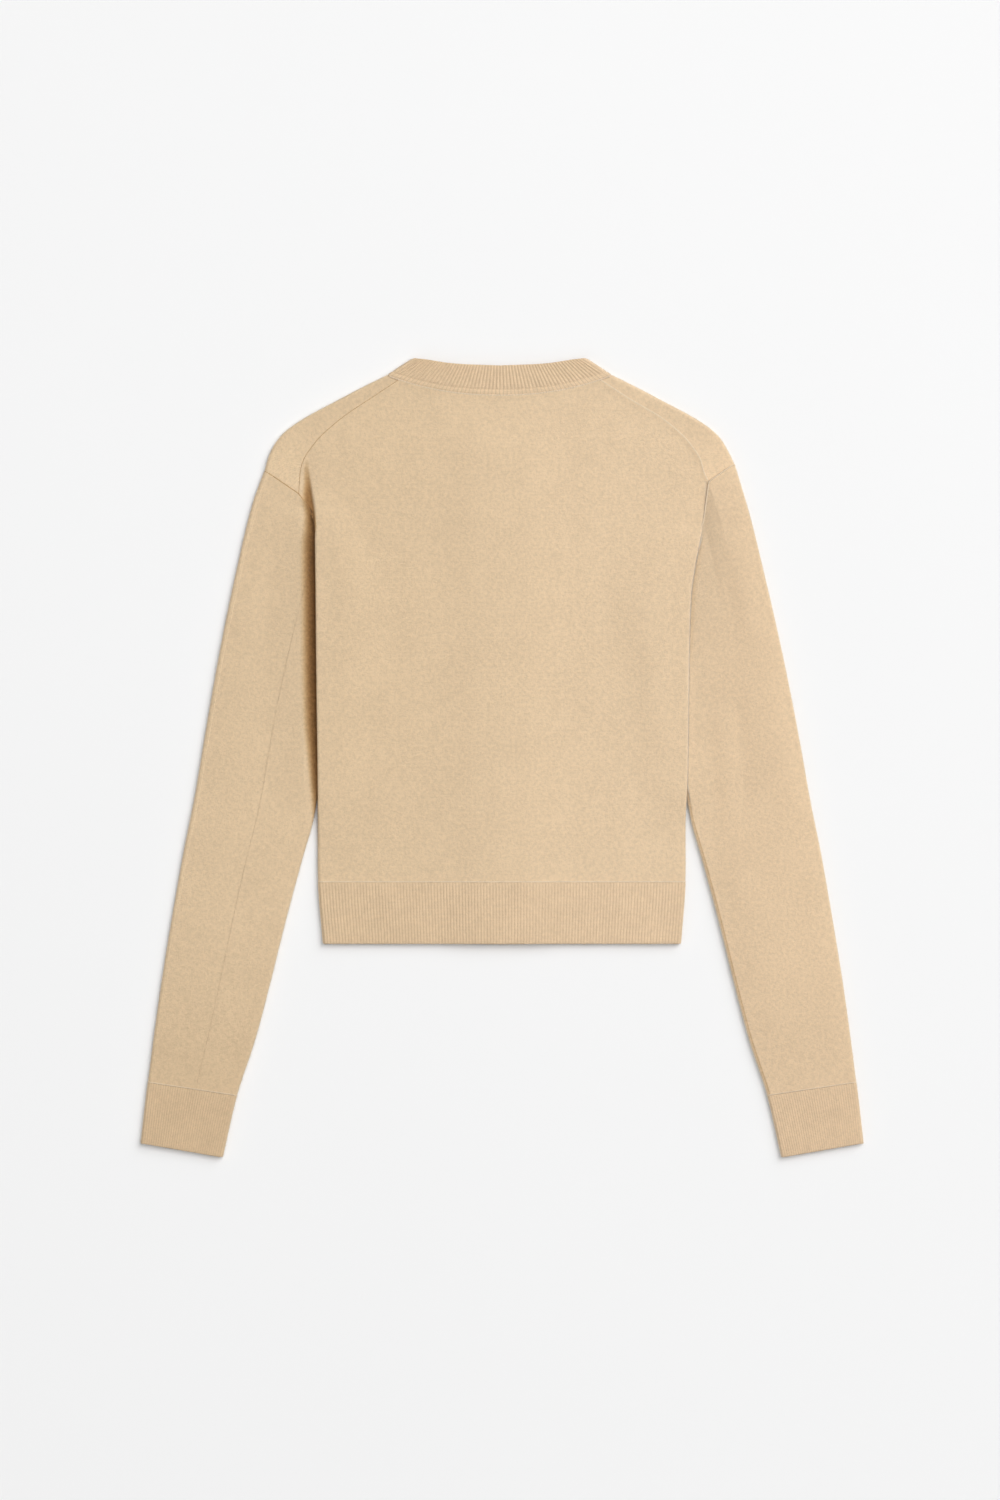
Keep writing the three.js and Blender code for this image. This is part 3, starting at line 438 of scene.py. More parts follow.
def cord_mesh(name: str, line: Array, normals: Array, depth: Array, closed: bool) -> bpy.types.Object:
    """A cord of linking loops along a line: a tube whose radius swells once a loop.

    Args:
        name: Name of the object.
        line: Points along its middle.
        normals: The cloth's normals there.
        depth: Shade painted at each point.
        closed: Whether its ends join.

    Returns:
        The new object.
    """
    if closed:
        line, normals, depth = (np.concatenate([part, part[:1]]) for part in (line, normals, depth))
    s = running_length(line[None])[0]
    count = max(int(s[-1] / CORD_STEP), 8)
    wanted = np.linspace(0, s[-1], count + 1)[: count if closed else None]
    depth = np.repeat(np.interp(wanted, s, depth), CORD_SIDES)
    line, normals = (on_line(part, s, wanted) for part in (line, normals))
    tangent = np.roll(line, -1, 0) - np.roll(line, 1, 0) if closed else np.gradient(line, axis=0)
    across = unit(np.cross(unit(tangent), normals))
    swell = CORD_RADIUS * (1 + 0.12 * np.cos(2 * np.pi * wanted / LOOP_LENGTH))[:, None, None]
    turn = (np.arange(CORD_SIDES) * np.pi / (CORD_SIDES / 2))[None, :, None]
    points = line[:, None] + swell * (np.cos(turn) * normals[:, None] + np.sin(turn) * across[:, None])
    index = point_numbers(len(line), CORD_SIDES, True)
    rings = np.vstack([index, index[:1]]) if closed else index
    quads = around(rings[:-1, :-1], rings[1:, :-1], rings[1:, 1:], rings[:-1, 1:])
    if not closed:
        quads = np.concatenate([quads, index[0][HEXAGON], index[-1][HEXAGON][:, ::-1]])
    uv = stacked(wanted[:, None], np.arange(CORD_SIDES) * 0.5).reshape(-1, 2)
    quads = quads[:, ::-1]
    return make_mesh(name, points.reshape(-1, 3), quads, uv[quads].reshape(-1, 2), depth)


NAP_LENGTHS = (0.6, 1.9)
NAP_RADIUS = 0.055  # a fibre's radius at its root
FRINGE = 2.5  # how much closer fibres stand along a free edge


def nap_mesh(name: str, cloth: Cloth, per_area: float, seed: int) -> bpy.types.Object:
    """Short fibres that stand off the cloth where it turns away, each a slender spike of four faces.

    Args:
        name: Name of the object.
        cloth: The cloth that they grow from.
        per_area: Fibres to a square millimetre where it faces sideways.
        seed: Seed of the random numbers.

    Returns:
        The new object.
    """
    rng = np.random.default_rng(seed)
    grid, normals = cloth.grid, cloth.normals()
    if cloth.tube:
        grid, normals = wrapped(grid), wrapped(normals)
    corner, right, up = (part.reshape(-1, 3) for part in (grid[:-1, :-1], grid[:-1, 1:], grid[1:, :-1]))
    facing = normals[:-1, :-1].reshape(-1, 3)
    sideways = smoothstep(1 - facing[:, 2], 0.2, 0.7) * (facing[:, 2] > -0.3)
    wanted = sideways * smoothstep(corner[:, 2], 0.4, 1.2)
    area = np.linalg.norm(np.cross(right - corner, up - corner), axis=-1)
    cell = np.repeat(np.arange(len(corner)), rng.poisson(area * wanted * per_area))
    s, t = rng.random((2, len(cell), 1))
    root = corner[cell] + (right - corner)[cell] * s + (up - corner)[cell] * t - facing[cell] * 0.1
    facing = facing[cell]
    if cloth.edges[0] is Edge.FREE:
        past = unit(cloth.grid[0] - cloth.grid[1])
        ends = rng.integers(0, len(past), int(running_length(cloth.grid[:1])[0, -1] * per_area * FRINGE))
        sunk = normals[0, ends] * rng.uniform(0.2, cloth.wall, (len(ends), 1))
        root = np.concatenate([root, cloth.grid[0, ends] - past[ends] * 0.3 - sunk])
        facing = np.concatenate([facing, past[ends]])
    count = len(root)
    along = unit(facing + rng.normal(size=root.shape) * (0.5, 0.5, 0.3))
    tip = root + along * rng.uniform(*NAP_LENGTHS, (count, 1)) ** 1.2
    tip[:, 2] = np.maximum(tip[:, 2], 0.3)
    across = unit(np.cross(along, (0.3, 0.2, 1.0)))
    turn = np.arange(3)[:, None] * np.pi * 2 / 3
    ring = np.cos(turn) * across[:, None] + np.sin(turn) * np.cross(along, across)[:, None]
    points = np.concatenate([root[:, None] + NAP_RADIUS * ring, tip[:, None]], 1).reshape(-1, 3)
    faces = np.array([[0, 2, 1], [0, 1, 3], [1, 2, 3], [2, 0, 3]]) + 4 * np.arange(count)[:, None, None]
    faces = faces.reshape(-1, 3)
    # painted shade on fibres in the left valley, and painted light, a paler colour, on all other fibres
    depth = VALLEY.depth(points[:, 0], points[:, 1])
    return make_mesh(name, points, faces, np.zeros((faces.size, 2)), np.where(depth > 0.05, depth, -0.3))


def turned_mesh(name: str, radii: Array, heights: Array, centre: Array) -> bpy.types.Object:
    """A closed body on rings of points: ring k lies at radius radii[k] and at heights[k] around its turn.

    The first and last rings are single points, closed by fans.

    Args:
        name: Name of the object.
        radii: Radius of each ring, 0 for the first and last.
        heights: Height of each point, as rings, points of a ring.
        centre: Plan centre.

    Returns:
        The new object.
    """
    count = heights.shape[1]
    turn = np.arange(count) * 2 * np.pi / count
    x = centre[0] + radii[1:-1, None] * np.cos(turn)
    y = centre[1] + radii[1:-1, None] * np.sin(turn)
    rings = stacked(x, y, heights[1:-1]).reshape(-1, 3)
    poles = np.array([[*centre, heights[0, 0]], [*centre, heights[-1, 0]]])
    index = point_numbers(len(radii) - 2, count, True)
    low, high = len(rings), len(rings) + 1
    a, b, c, d = index[:-1, :-1], index[:-1, 1:], index[1:, 1:], index[1:, :-1]
    sides = np.concatenate([stacked(a, d, c).reshape(-1, 3), stacked(a, c, b).reshape(-1, 3)])
    first = stacked(index[0, 1:], low, index[0, :-1])
    last = stacked(index[-1, :-1], high, index[-1, 1:])
    return make_mesh(name, np.concatenate([rings, poles]), np.concatenate([sides, first, last])[:, ::-1])


# ------------------------------------------------------------------ how the garment lies


@dataclass(frozen=True)
class SideLay:
    """Where one side's seams and folds lie.

    Attributes:
        name: The wearer's side.
        sign: -1 at -X, 1 at +X.
        head: Top of the sleeve seam.
        corner: Where it turns a corner on the back.
        fold_start: Where the body's side fold starts.
        body_edge: Half width of the body at its side fold, by y.
        seam_bend: Heights where the sleeve seam follows the body's edge.
    """

    name: str
    sign: int
    head: tuple[float, float]
    corner: tuple[float, float]
    fold_start: tuple[float, float]
    body_edge: Rows
    seam_bend: tuple[float, ...] = ()

    @property
    def head_outward(self) -> Array:
        """Outward direction of the fold at the sleeve seam's top."""
        return np.array([self.sign * 0.935, 0.355])

    @property
    def neck_outward(self) -> Array:
        """Outward direction of the fold at the neck."""
        return np.array([self.sign * 0.56, 0.828])


class Side(Enum):
    """The wearer's left and right sides, with how each one lies."""

    LEFT = SideLay(
        "left", -1, (-209, 253), (-178.6, 233.2), (-174, 227),
        ((-162.4, 157.4), (-108, 161.8), (-54, 162), (-18, 162.2), (45, 162.6), (95, 162.6),
         (145, 162.4), (171, 162.5), (190, 162.6), (203, 162.6), (215, 164.6), (221, 167.4), (227, 171.9)),
        (215.0, 221.0),
    )
    RIGHT = SideLay(
        "right", 1, (204.4, 259), (181.3, 243.8), (176.4, 208),
        ((-162.4, 157.2), (-108, 161.2), (-54, 161.4), (-18, 163), (45, 164.4), (95, 165.6),
         (145, 168), (171, 171.9), (190, 175.8), (203, 178), (215, 179.6), (221, 180.4), (227, 181.2)),
    )


LEFT, RIGHT = (side.value for side in Side)
CLOSE_KNOTS = 6  # a panel's rows begin at their outer end with close, even steps
EVEN_KNOTS = 8  # and go on in wider ones


@dataclass(frozen=True)
class Lay:
    """Sizes of the garment as it lies, and the surfaces that several pieces share."""

    centre_y: float = 1.3
    cloth: float = 1.8
    rib_wall: float = 2.0
    rib_rise: float = 0.5
    rib_pitch: float = 2.7
    per_rib: int = 6
    seam_gap: float = 0.35
    side_seam_gap: float = 1.0
    layer_gap: float = 0.3
    fold: float = 3.2
    pressed_fold: float = 2.3
    neck_y: float = 335.4
    neck_half: float = 96.2
    neck_front_depth: float = 95.0
    neck_back_y: float = 319.4
    neck_back_rise: float = 16.4
    shoulder_seam_x: float = 88.5
    hem_top_y: float = -108.0
    hem_bottom_y: float = -162.4
    cuff_top_y: float = -290.0
    band_half: float = 13.0
    band_top_y: float = 263.0
    button_count: int = 7
    button_radius: float = 7.5
    button_thickness: float = 2.0
    button_first_y: float = -148.0
    button_last_y: float = 250.0
    shoulder_lean: float = -2.2
    seam_lean: float = 2.2
    corner_top: float = 7.5
    fold_start_run: float = 16.0
    band_rise: float = 2.5
    front_ramp: float = 30.0
    sleeve_crown: float = 0.7
    armhole_hollow: float = 17.0
    underarm_y: float = 140.0
    underarm_half: float = 134.0
    underarm_clearance: float = 2.6
    fold_step: float = 1.5
    press_run: tuple[float, float] = (-75.0, -25.0)
    lift_run: tuple[float, float] = (-82.0, -32.0)
    rise_run: tuple[float, float] = (-82.0, -10.0)
    half_turn_y: float = -45.0
    outline: Rows = (
        (-338, 317.8), (-284, 311.5), (-195, 299.4), (-89, 281.6), (-36, 271), (17, 261.8),
        (70, 252.1), (122, 241.6), (175, 229.7), (210, 221.3), (238, 213.3), (256, 207.4),
        (268, 202.4), (281, 194.9), (291, 184.6), (302, 167.6), (316, 141.2), (325, 124.2), (338, 98),
    )
    sleeve_inner: Rows = (
        (-350, 245.5), (-296, 233), (-247, 217), (-195, 203.2), (-142, 190), (-89, 175.8),
        (-54, 166), (0, 157), (70, 145.5), (140, 134),
    )
    seam_rows: Rows = (
        (317.6, 111.8), (308.9, 125.8), (299.2, 140.8), (286, 156.6), (276.3, 165.4),
        (264, 173.7), (252, 177.2),
    )

    @property
    def side_low_height(self) -> float:
        """Underside of the body where it lies on a sleeve."""
        return 2 * self.pressed_fold + self.layer_gap

    @property
    def button_ys(self) -> Array:
        """Heights of the buttons up the front."""
        return np.linspace(self.button_first_y, self.button_last_y, self.button_count)

    def lean(self, y: Array | float) -> Array:
        """Sideways lean of the upper garment."""
        return self.shoulder_lean * smoothstep(y, -40, 230)

    def plan(self, side: SideLay, half: Array | float, y: Array | float) -> Array:
        """Plan points from half widths on one side."""
        x = self.lean(y) + side.sign * np.asarray(half, float)
        return stacked(x, y)

    def button_lift(self, y: Array) -> Array:
        """How far up the nearest button pushes the two bands that lie on it."""
        nearest = np.abs(np.asarray(y)[..., None] - self.button_ys).min(-1)
        near = falling(nearest, self.button_radius + 1, self.button_radius + 12)
        return (self.button_thickness + self.layer_gap) * near

    def band_lift(self, side: SideLay, x: Array, y: Array) -> Array:
        """Height of a front's underside near the bands: the left front lies on the right one's band."""
        nearness = falling(np.abs(x), self.band_half + 2, self.band_half + self.front_ramp)
        step = self.rib_wall + self.layer_gap if side.sign < 0 else 0.0
        return nearness * (step + self.button_lift(y))

    def pressed(self, y: Array) -> Array:
        """How flat the body presses a sleeve: not at all near the hem, 1 higher up."""
        return smoothstep(y, *self.press_run)

    def side_low(self, y: Array) -> Array:
        """Underside of the body's side folds: on the floor near the hem, on the sleeve higher up."""
        return self.side_low_height * smoothstep(y, *self.lift_run)

    def side_top(self, side: SideLay, y: Array) -> Array:
        """Top of the body along its side folds."""
        free, start = 2 * self.fold, side.fold_start[1]
        on_sleeve = self.side_low_height + 2 * self.pressed_fold
        below = mix(free, on_sleeve, smoothstep(y, *self.rise_run))
        near_corner = smoothstep(y, start - self.fold_start_run, start)
        drop = (self.corner_top - free) * smoothstep(y, start, side.corner[1])
        return mix(below, self.corner_top, near_corner) - drop

    def side_radius(self, side: SideLay, y: Array) -> Array:
        """Outer radius of the body's side fold."""
        return np.minimum((self.side_top(side, y) - self.side_low(y)) / 2, self.fold)

    def body_edge(self, side: SideLay, y: Array) -> Array:
        """Half width of the body at its side fold."""
        return read_table(side.body_edge, y)

    def outboard(self, side: SideLay, x: Array, y: Array) -> Array:
        """Distance outside the body's side fold."""
        return np.abs(x - self.lean(y)) - self.body_edge(side, y)

    def back_top_on(self, side: SideLay, x: Array, y: Array) -> Array:
        """How far a side's fold lifts the back above two loose layers."""
        edge = self.body_edge(side, y)
        inboard = edge - np.abs(x - self.lean(y))
        turned = self.turned_edge(side, np.minimum(y, side.fold_start[1]))
        lap = np.maximum(edge - turned, 0) + 4
        lift = self.side_top(side, np.minimum(y, side.corner[1])) - 2 * self.fold
        return lift * falling(inboard - lap, 0, 40)

    def back_top(self, x: Array, y: Array) -> Array:
        """Height of the back's upper face."""
        x, y = np.broadcast_arrays(np.asarray(x, float), np.asarray(y, float))
        left, right = (self.back_top_on(side, x, y) for side in (LEFT, RIGHT))
        beside_neck = falling(y, self.band_top_y + 5, self.band_top_y + 41)
        over_bands = self.band_rise * falling(np.abs(x), self.band_half + 4, 60) * beside_neck
        return 2 * self.fold + np.where(x < self.lean(y), left, right) + over_bands

    def underarm(self, side: SideLay) -> Array:
        """Plan point where the side seam meets the sleeve."""
        return self.plan(side, self.underarm_half, self.underarm_y)

    def fold_angle(self, side: SideLay, y: Array) -> Array:
        """Fold angle of the back's side: none at the corner, a half turn lower, a quarter at the hem."""
        start = side.fold_start[1]
        from_corner = np.pi * falling(y, start - self.fold_start_run, start)
        toward_hem = mix(np.pi / 2, np.pi, smoothstep(y, self.hem_top_y, self.half_turn_y))
        return np.minimum(from_corner, toward_hem)

    def turned_edge(self, side: SideLay, y: Array) -> Array:
        """Half width of the back's turned-under edge, over the sleeve seam and then beside its fold."""
        end, start = self.underarm(side), np.array(side.fold_start)
        t = np.clip((y - end[1]) / (start[1] - end[1]), 0, 1)
        above = np.abs(mix(end[0], start[0], t) - self.lean(y)) - self.underarm_clearance * (1 - t)
        below = read_table(self.sleeve_inner, y) - self.underarm_clearance
        return np.where(np.asarray(y) >= self.underarm_y, above, below)

    def turned_length(self, side: SideLay, y: Array) -> Array:
        """Length of the back's cloth past the point where its side fold begins."""
        radius, angle = self.side_radius(side, y), self.fold_angle(side, y)
        flat = np.maximum(self.body_edge(side, y) - radius - self.turned_edge(side, y), 0)
        return radius * angle + np.where(angle > 3.1, flat, 0)

    def side_section(self, side: SideLay, y: Array, q: Array) -> Array:
        """Points of the body's side: flat on top, an arc round the fold and flat below it.

        Args:
            side: Which side.
            y: Heights up the body.
            q: Lengths along the cloth outward from where the fold begins.

        Returns:
            Points and, last, the place across the wales: x, y, z, u.
        """
        y, q = np.broadcast_arrays(np.asarray(y, float), np.asarray(q, float))
        radius, top = self.side_radius(side, y), self.side_top(side, y)
        turn = np.minimum(self.fold_angle(side, y), np.pi / 2)
        fold_half = self.body_edge(side, y) - radius * np.sin(turn)
        angle = np.clip(q / radius, 0, np.pi)
        flat = np.where(q <= 0, q, -np.maximum(q - np.pi * radius, 0))
        x = self.lean(y) + side.sign * (fold_half + radius * np.sin(angle) + flat)
        z = np.where(q <= 0, self.back_top(x, y), top - radius * (1 - np.cos(angle)))
        return stacked(x, y, z, self.lean(y) + side.sign * (fold_half + q))

    def back_neck_y(self, x: Array) -> Array:
        """Back neckline, which the neckband's lower edge follows."""
        off_middle = np.abs(x - self.shoulder_lean) / self.neck_half
        return self.neck_back_y + self.neck_back_rise * off_middle**2.2

    @property
    def lowest_neck(self) -> float:
        """Where on the front neckline's ellipse the bands begin, as an angle."""
        return math.acos((self.band_half + self.seam_gap) / self.neck_half)

    def front_neck(self, side: SideLay, angle: Array) -> Array:
        """Front neckline: a quarter ellipse from the shoulder fold, at 0, toward the bands."""
        x = side.sign * self.neck_half * np.cos(angle) + self.shoulder_lean * np.cos(angle)
        return stacked(x, self.neck_y - self.neck_front_depth * np.sin(angle))

    def shoulder_seam(self, side: SideLay) -> Spline:
        """The shoulder seam on the back, from the sleeve seam's corner to the neckline."""
        neck_x = self.shoulder_lean + side.sign * self.shoulder_seam_x
        points = [[neck_x, float(self.back_neck_y(neck_x))]]
        for y, half in self.seam_rows:
            x, _ = self.plan(side, half, y)
            points.append([x + self.seam_lean * float(smoothstep(half, 110, 150)), y])
        return Spline([*points, list(side.corner)][::-1])

    def shoulder_fold(self, side: SideLay) -> Spline:
        """The shoulder's fold line, from the sleeve seam's top to the neck."""
        rows = [self.plan(side, half, y) for y, half in self.outline if y > side.head[1] + 4]
        return Spline([list(side.head), *rows])

    def front_armhole(self, side: SideLay, t: Array) -> Array:
        """Front armhole seam from the underarm, 0, to the sleeve seam's top, 1: a chord less a sine."""
        start = self.underarm(side)
        end = np.array(side.head) - self.fold * side.head_outward
        chord = unit(end - start)
        inboard = np.array([-side.sign * chord[1], side.sign * chord[0]])
        t = np.asarray(t, float)[..., None]
        return mix(start, end, t) + inboard * self.armhole_hollow * np.sin(np.pi * t)

    def seam_distances(self, length: Array | float) -> Array:
        """Distances along a row from its outer end at its knots: close steps, then wider ones."""
        length = np.asarray(length, float)[..., None]
        close = np.arange(CLOSE_KNOTS + 1) * self.fold_step
        rest = close[-1] + (length - close[-1]) * np.arange(1, EVEN_KNOTS + 1) / EVEN_KNOTS
        return np.concatenate([np.broadcast_to(close, length.shape[:-1] + close.shape), rest], -1)

    def front_low(self, side: SideLay, x: Array, y: Array) -> Array:
        """Height of a front's underside: up to the turned-under edge at the side, and up to the bands."""
        half = np.abs(x - self.lean(y))
        seam = self.turned_edge(side, np.minimum(y, self.underarm_y))
        at_side = falling(seam - half, 0, self.front_ramp)
        below_arm = falling(y, self.underarm_y - 32, self.underarm_y - 8)
        return self.side_low(y) * at_side * below_arm + self.band_lift(side, x, y)

    def outward(self, rows: Rows, sign: int, y: Array) -> Array:
        """Outward plan direction of an outline that a table gives."""
        slope = (read_table(rows, y + 2) - read_table(rows, y - 2)) / 4
        return unit(stacked(sign, -slope))

    def front_row(self, side: SideLay, y: Array, t: Array) -> tuple[Array, Array]:
        """Rows of a front below the underarm, from the side seam, the first knot, in to the band.

        Args:
            side: Which side.
            y: Heights of the rows.
            t: Columns, counted in knots.

        Returns:
            Points as rows, columns, 3, and their places across the wales.
        """
        y = y[:, None]
        seam_at = self.turned_length(side, y) + self.side_seam_gap
        q = seam_at + np.minimum(t, CLOSE_KNOTS) * self.fold_step
        near = self.side_section(side, y, q)
        arc_left = np.pi * self.side_radius(side, y) - q
        end_x = side.sign * (self.band_half + self.seam_gap)
        inward = np.maximum(t - CLOSE_KNOTS, 0) / EVEN_KNOTS
        x = np.where(t > CLOSE_KNOTS, mix(near[..., 0], end_x, inward), near[..., 0])
        z = np.where(arc_left <= 0, self.front_low(side, x, y), near[..., 2])
        u = np.where(t > CLOSE_KNOTS, near[..., 3] - (x - near[..., 0]), near[..., 3])
        return stacked(x, y, z), u


LAY = Lay()


def rib_phase(ribs: int) -> Array:
    """Places across a strip of ribs, counted in ribs."""
    return np.arange(ribs * LAY.per_rib + 1) / LAY.per_rib


def rib_crown(phase: Array) -> Array:
    """A rib's section, 0 in the grooves at whole numbers and 1 on its crown."""
    return np.abs(np.sin(np.pi * phase)) ** 0.8


# ------------------------------------------------------------------ shader sums


Colour = tuple[float, float, float, float]
WHITE: Colour = (1.0, 1.0, 1.0, 1.0)
BLACK: Colour = (0.0, 0.0, 0.0, 1.0)
SHADE_RICHNESS = 1.6  # how much richer painted shade makes a colour at depth 1, as a power
SHADE_DARKNESS = 0.58  # and how much darker painted shade makes it


@dataclass(frozen=True)
class Signal:
    """An output socket that can be used in sums with other sockets and numbers."""

    recipe: "Recipe"
    socket: bpy.types.NodeSocket

    def math(self, operation: str, *others: "Signal | float") -> "Signal":
        """A Math node on this value and others."""
        return self.recipe.add("ShaderNodeMath", {"operation": operation}, [self, *others])

    def __add__(self, other: "Signal | float") -> "Signal":
        """Sum."""
        return self.math("ADD", other)

    __radd__ = __add__

    def __mul__(self, other: "Signal | float") -> "Signal":
        """Product."""
        return self.math("MULTIPLY", other)

    __rmul__ = __mul__

    def __sub__(self, other: "Signal | float") -> "Signal":
        """Difference."""
        return self.math("SUBTRACT", other)

    def __rsub__(self, other: float) -> "Signal":
        """Difference from a number."""
        return self.recipe.add("ShaderNodeMath", {"operation": "SUBTRACT"}, [other, self])

    def __pow__(self, power: float) -> "Signal":
        """Power."""
        return self.math("POWER", power)

    def __abs__(self) -> "Signal":
        """Size without the sign."""
        return self.math("ABSOLUTE")

    def fraction(self) -> "Signal":
        """The part after the whole number."""
        return self.math("FRACT")

    def wave(self) -> "Signal":
        """Half a sine: 0 at whole numbers and 1 halfway between them."""
        return abs((self * math.pi).math("SINE"))


class Recipe:
    """A new material's nodes: one method adds any node, with its settings and sockets."""

    def __init__(self, name: str) -> None:
        """Start a material with a Principled shader."""
        self.material = bpy.data.materials.new(name)
        self.material.use_nodes = True
        self.tree = self.material.node_tree
        self.shader = self.tree.nodes["Principled BSDF"]

    def add(self, kind: str, settings: dict[str, Any], inputs: Any = (), output: int | str = 0) -> Signal:
        """Add a node.

        Args:
            kind: Node type.
            settings: Its properties, set before its sockets.
            inputs: Values or signals by socket, as a list in order or a dict by name or number.
            output: Which output is wanted.

        Returns:
            The output as a signal.
        """
        node = self.tree.nodes.new(kind)
        for key, value in settings.items():
            setattr(node, key, value)
        pairs = inputs.items() if isinstance(inputs, dict) else enumerate(inputs)
        for key, value in pairs:
            self.feed(node.inputs[key], value)
        return Signal(self, node.outputs[output])

    def feed(self, socket: bpy.types.NodeSocket, value: Any) -> None:
        """Link a signal to a socket, or set the socket's own value."""
        if isinstance(value, Signal):
            self.tree.links.new(value.socket, socket)
        else:
            socket.default_value = value

    def dress(self, **sockets: Any) -> bpy.types.Material:
        """Set the shader's sockets, whose names have _ for spaces, and give the material."""
        for key, value in sockets.items():
            self.feed(self.shader.inputs[key.replace("_", " ")], value)
        return self.material

    def uv(self) -> tuple[Signal, Signal]:
        """Millimetres across and along the wales."""
        u, v = self.split(self.add("ShaderNodeUVMap", {"uv_map": "wales"}))
        return u * (1 / MM), v * (1 / MM)

    def split(self, vector: Signal) -> list[Signal]:
        """The X and Y of a vector."""
        return [self.add("ShaderNodeSeparateXYZ", {}, [vector], axis) for axis in "XY"]

    def place(self) -> Signal:
        """Object coordinates."""
        return self.add("ShaderNodeTexCoord", {}, (), "Object")

    def noise(self, size: float, detail: float, stretch: tuple[float, float, float] = (1, 1, 1)) -> Signal:
        """Noise from 0 to 1 about a half, with lumps of a size in millimetres."""
        vector = self.add("ShaderNodeMapping", {}, {"Vector": self.place(), "Scale": stretch})
        inputs = {"Vector": vector, "Scale": 1000.0 / size, "Detail": detail, "Roughness": 0.55}
        return self.add("ShaderNodeTexNoise", {}, inputs, "Fac")

    def blend(self, amount: Signal | float, a: Any, b: Any) -> Signal:
        """A colour between two."""
        return self.add("ShaderNodeMix", {"data_type": "RGBA"}, {0: amount, 6: a, 7: b}, 2)

    def ramp(self, value: Signal, low: float, high: float) -> Signal:
        """A value's way from low to high, as 0 to 1, smooth at both ends."""
        settings = {"interpolation_type": "SMOOTHSTEP"}
        return self.add("ShaderNodeMapRange", settings, {0: value, 1: low, 2: high, 3: 0.0, 4: 1.0})

    def with_painted_falloff(self, colour: Signal) -> Signal:
        """A colour with painted shade: darker toward the wearer's left side and toward the cuffs, where the
        light falls off.
        """
        x, y = self.split(self.place())
        # painted shade and light that copy how the lamps fall off across the garment
        across = self.blend(self.ramp(x, -0.14, 0.12), (0.955, 0.95, 0.925, 1.0), (1.022, 1.022, 1.02, 1.0))
        across = self.blend(self.ramp(x, 0.14, 0.21), across, (1.01, 0.998, 0.99, 1.0))
        low = self.blend(self.ramp(x, -0.2, 0.2), (0.92, 0.905, 0.88, 1.0), (0.965, 0.96, 0.955, 1.0))
        along = self.blend(self.ramp(y, -0.32, -0.12), low, WHITE)
        return self.tint(self.tint(colour, across), along)

    def tint(self, colour: Signal, by: Signal) -> Signal:
        """A colour multiplied by another."""
        settings = {"data_type": "RGBA", "blend_type": "MULTIPLY"}
        return self.add("ShaderNodeMix", settings, {0: 1.0, 6: colour, 7: by}, 2)

    def with_painted_shade(self, colour: Signal) -> Signal:
        """Painted shade in folds: a colour made richer and darker by its depth, and painted light, paler,
        where the depth is below 0.
        """
        depth = self.add("ShaderNodeAttribute", {"attribute_name": "depth"}, (), "Fac")
        rich = self.add("ShaderNodeGamma", {}, [colour, depth * SHADE_RICHNESS + 1.0])
        return self.blend(depth * SHADE_DARKNESS, rich, BLACK)

    def bump(self, height: Signal, distance: float) -> Signal:
        """A normal from a height whose unit is a distance in millimetres."""
        inputs = {"Height": height, "Distance": distance * MM, "Strength": 1.0}
        return self.add("ShaderNodeBump", {}, inputs, "Normal")

    def wool(self, colour: Signal, height: Signal, sheen: float, shine: float) -> bpy.types.Material:
        """Dress the material as wool, whose loose fibres give it a warm sheen."""
        return self.dress(
            Base_Color=colour, Roughness=0.92, Normal=self.bump(height, 1.0), Specular_IOR_Level=shine,
            Sheen_Weight=sheen, Sheen_Roughness=0.45, Sheen_Tint=(1.0, 0.92, 0.82, 1.0),
        )


def shade(colour: Colour, factor: float) -> Colour:
    """A colour made lighter or darker."""
    return (*(min(c * factor, 1.0) for c in colour[:3]), 1.0)


@dataclass(frozen=True)
class KnitFinish:
    """Fine stockinette, milled until its stitches are half hidden under a short nap."""

    name: str = "milled_knit"
    colour: Colour = (0.81, 0.614, 0.407, 1.0)
    wale: float = 1.7
    course: float = 1.25
    stitch_depth: float = 0.24
    nap_depth: float = 0.4

    def material(self) -> bpy.types.Material:
        """Columns of V-shaped stitches under nap, with a faint heather of lighter and darker fibres."""
        r = Recipe(self.name)
        u, v = r.uv()
        out = abs((u * (1 / self.wale)).fraction() - 0.5) * 2
        leg = 1 - abs(out - 0.5) ** 2 * 4
        stitch = leg * ((v * (1 / self.course) + out * 0.6).wave() * 0.5 + 0.5)
        fine, lumps, cloud = r.noise(1.1, 3), r.noise(2.8, 2), r.noise(45, 2)
        mottle = fine * 0.35 + lumps * 0.5 + cloud * 0.15
        # stitch * 0.05 paints a little shade into the hollows between stitches
        tone = r.ramp(mottle + stitch * 0.05, 0.34, 0.7)
        colour = r.with_painted_falloff(r.blend(tone, shade(self.colour, 0.915), shade(self.colour, 1.085)))
        height = stitch * self.stitch_depth + fine * self.nap_depth + lumps * self.nap_depth
        return r.wool(r.with_painted_shade(colour), height, 0.16, 0.15)


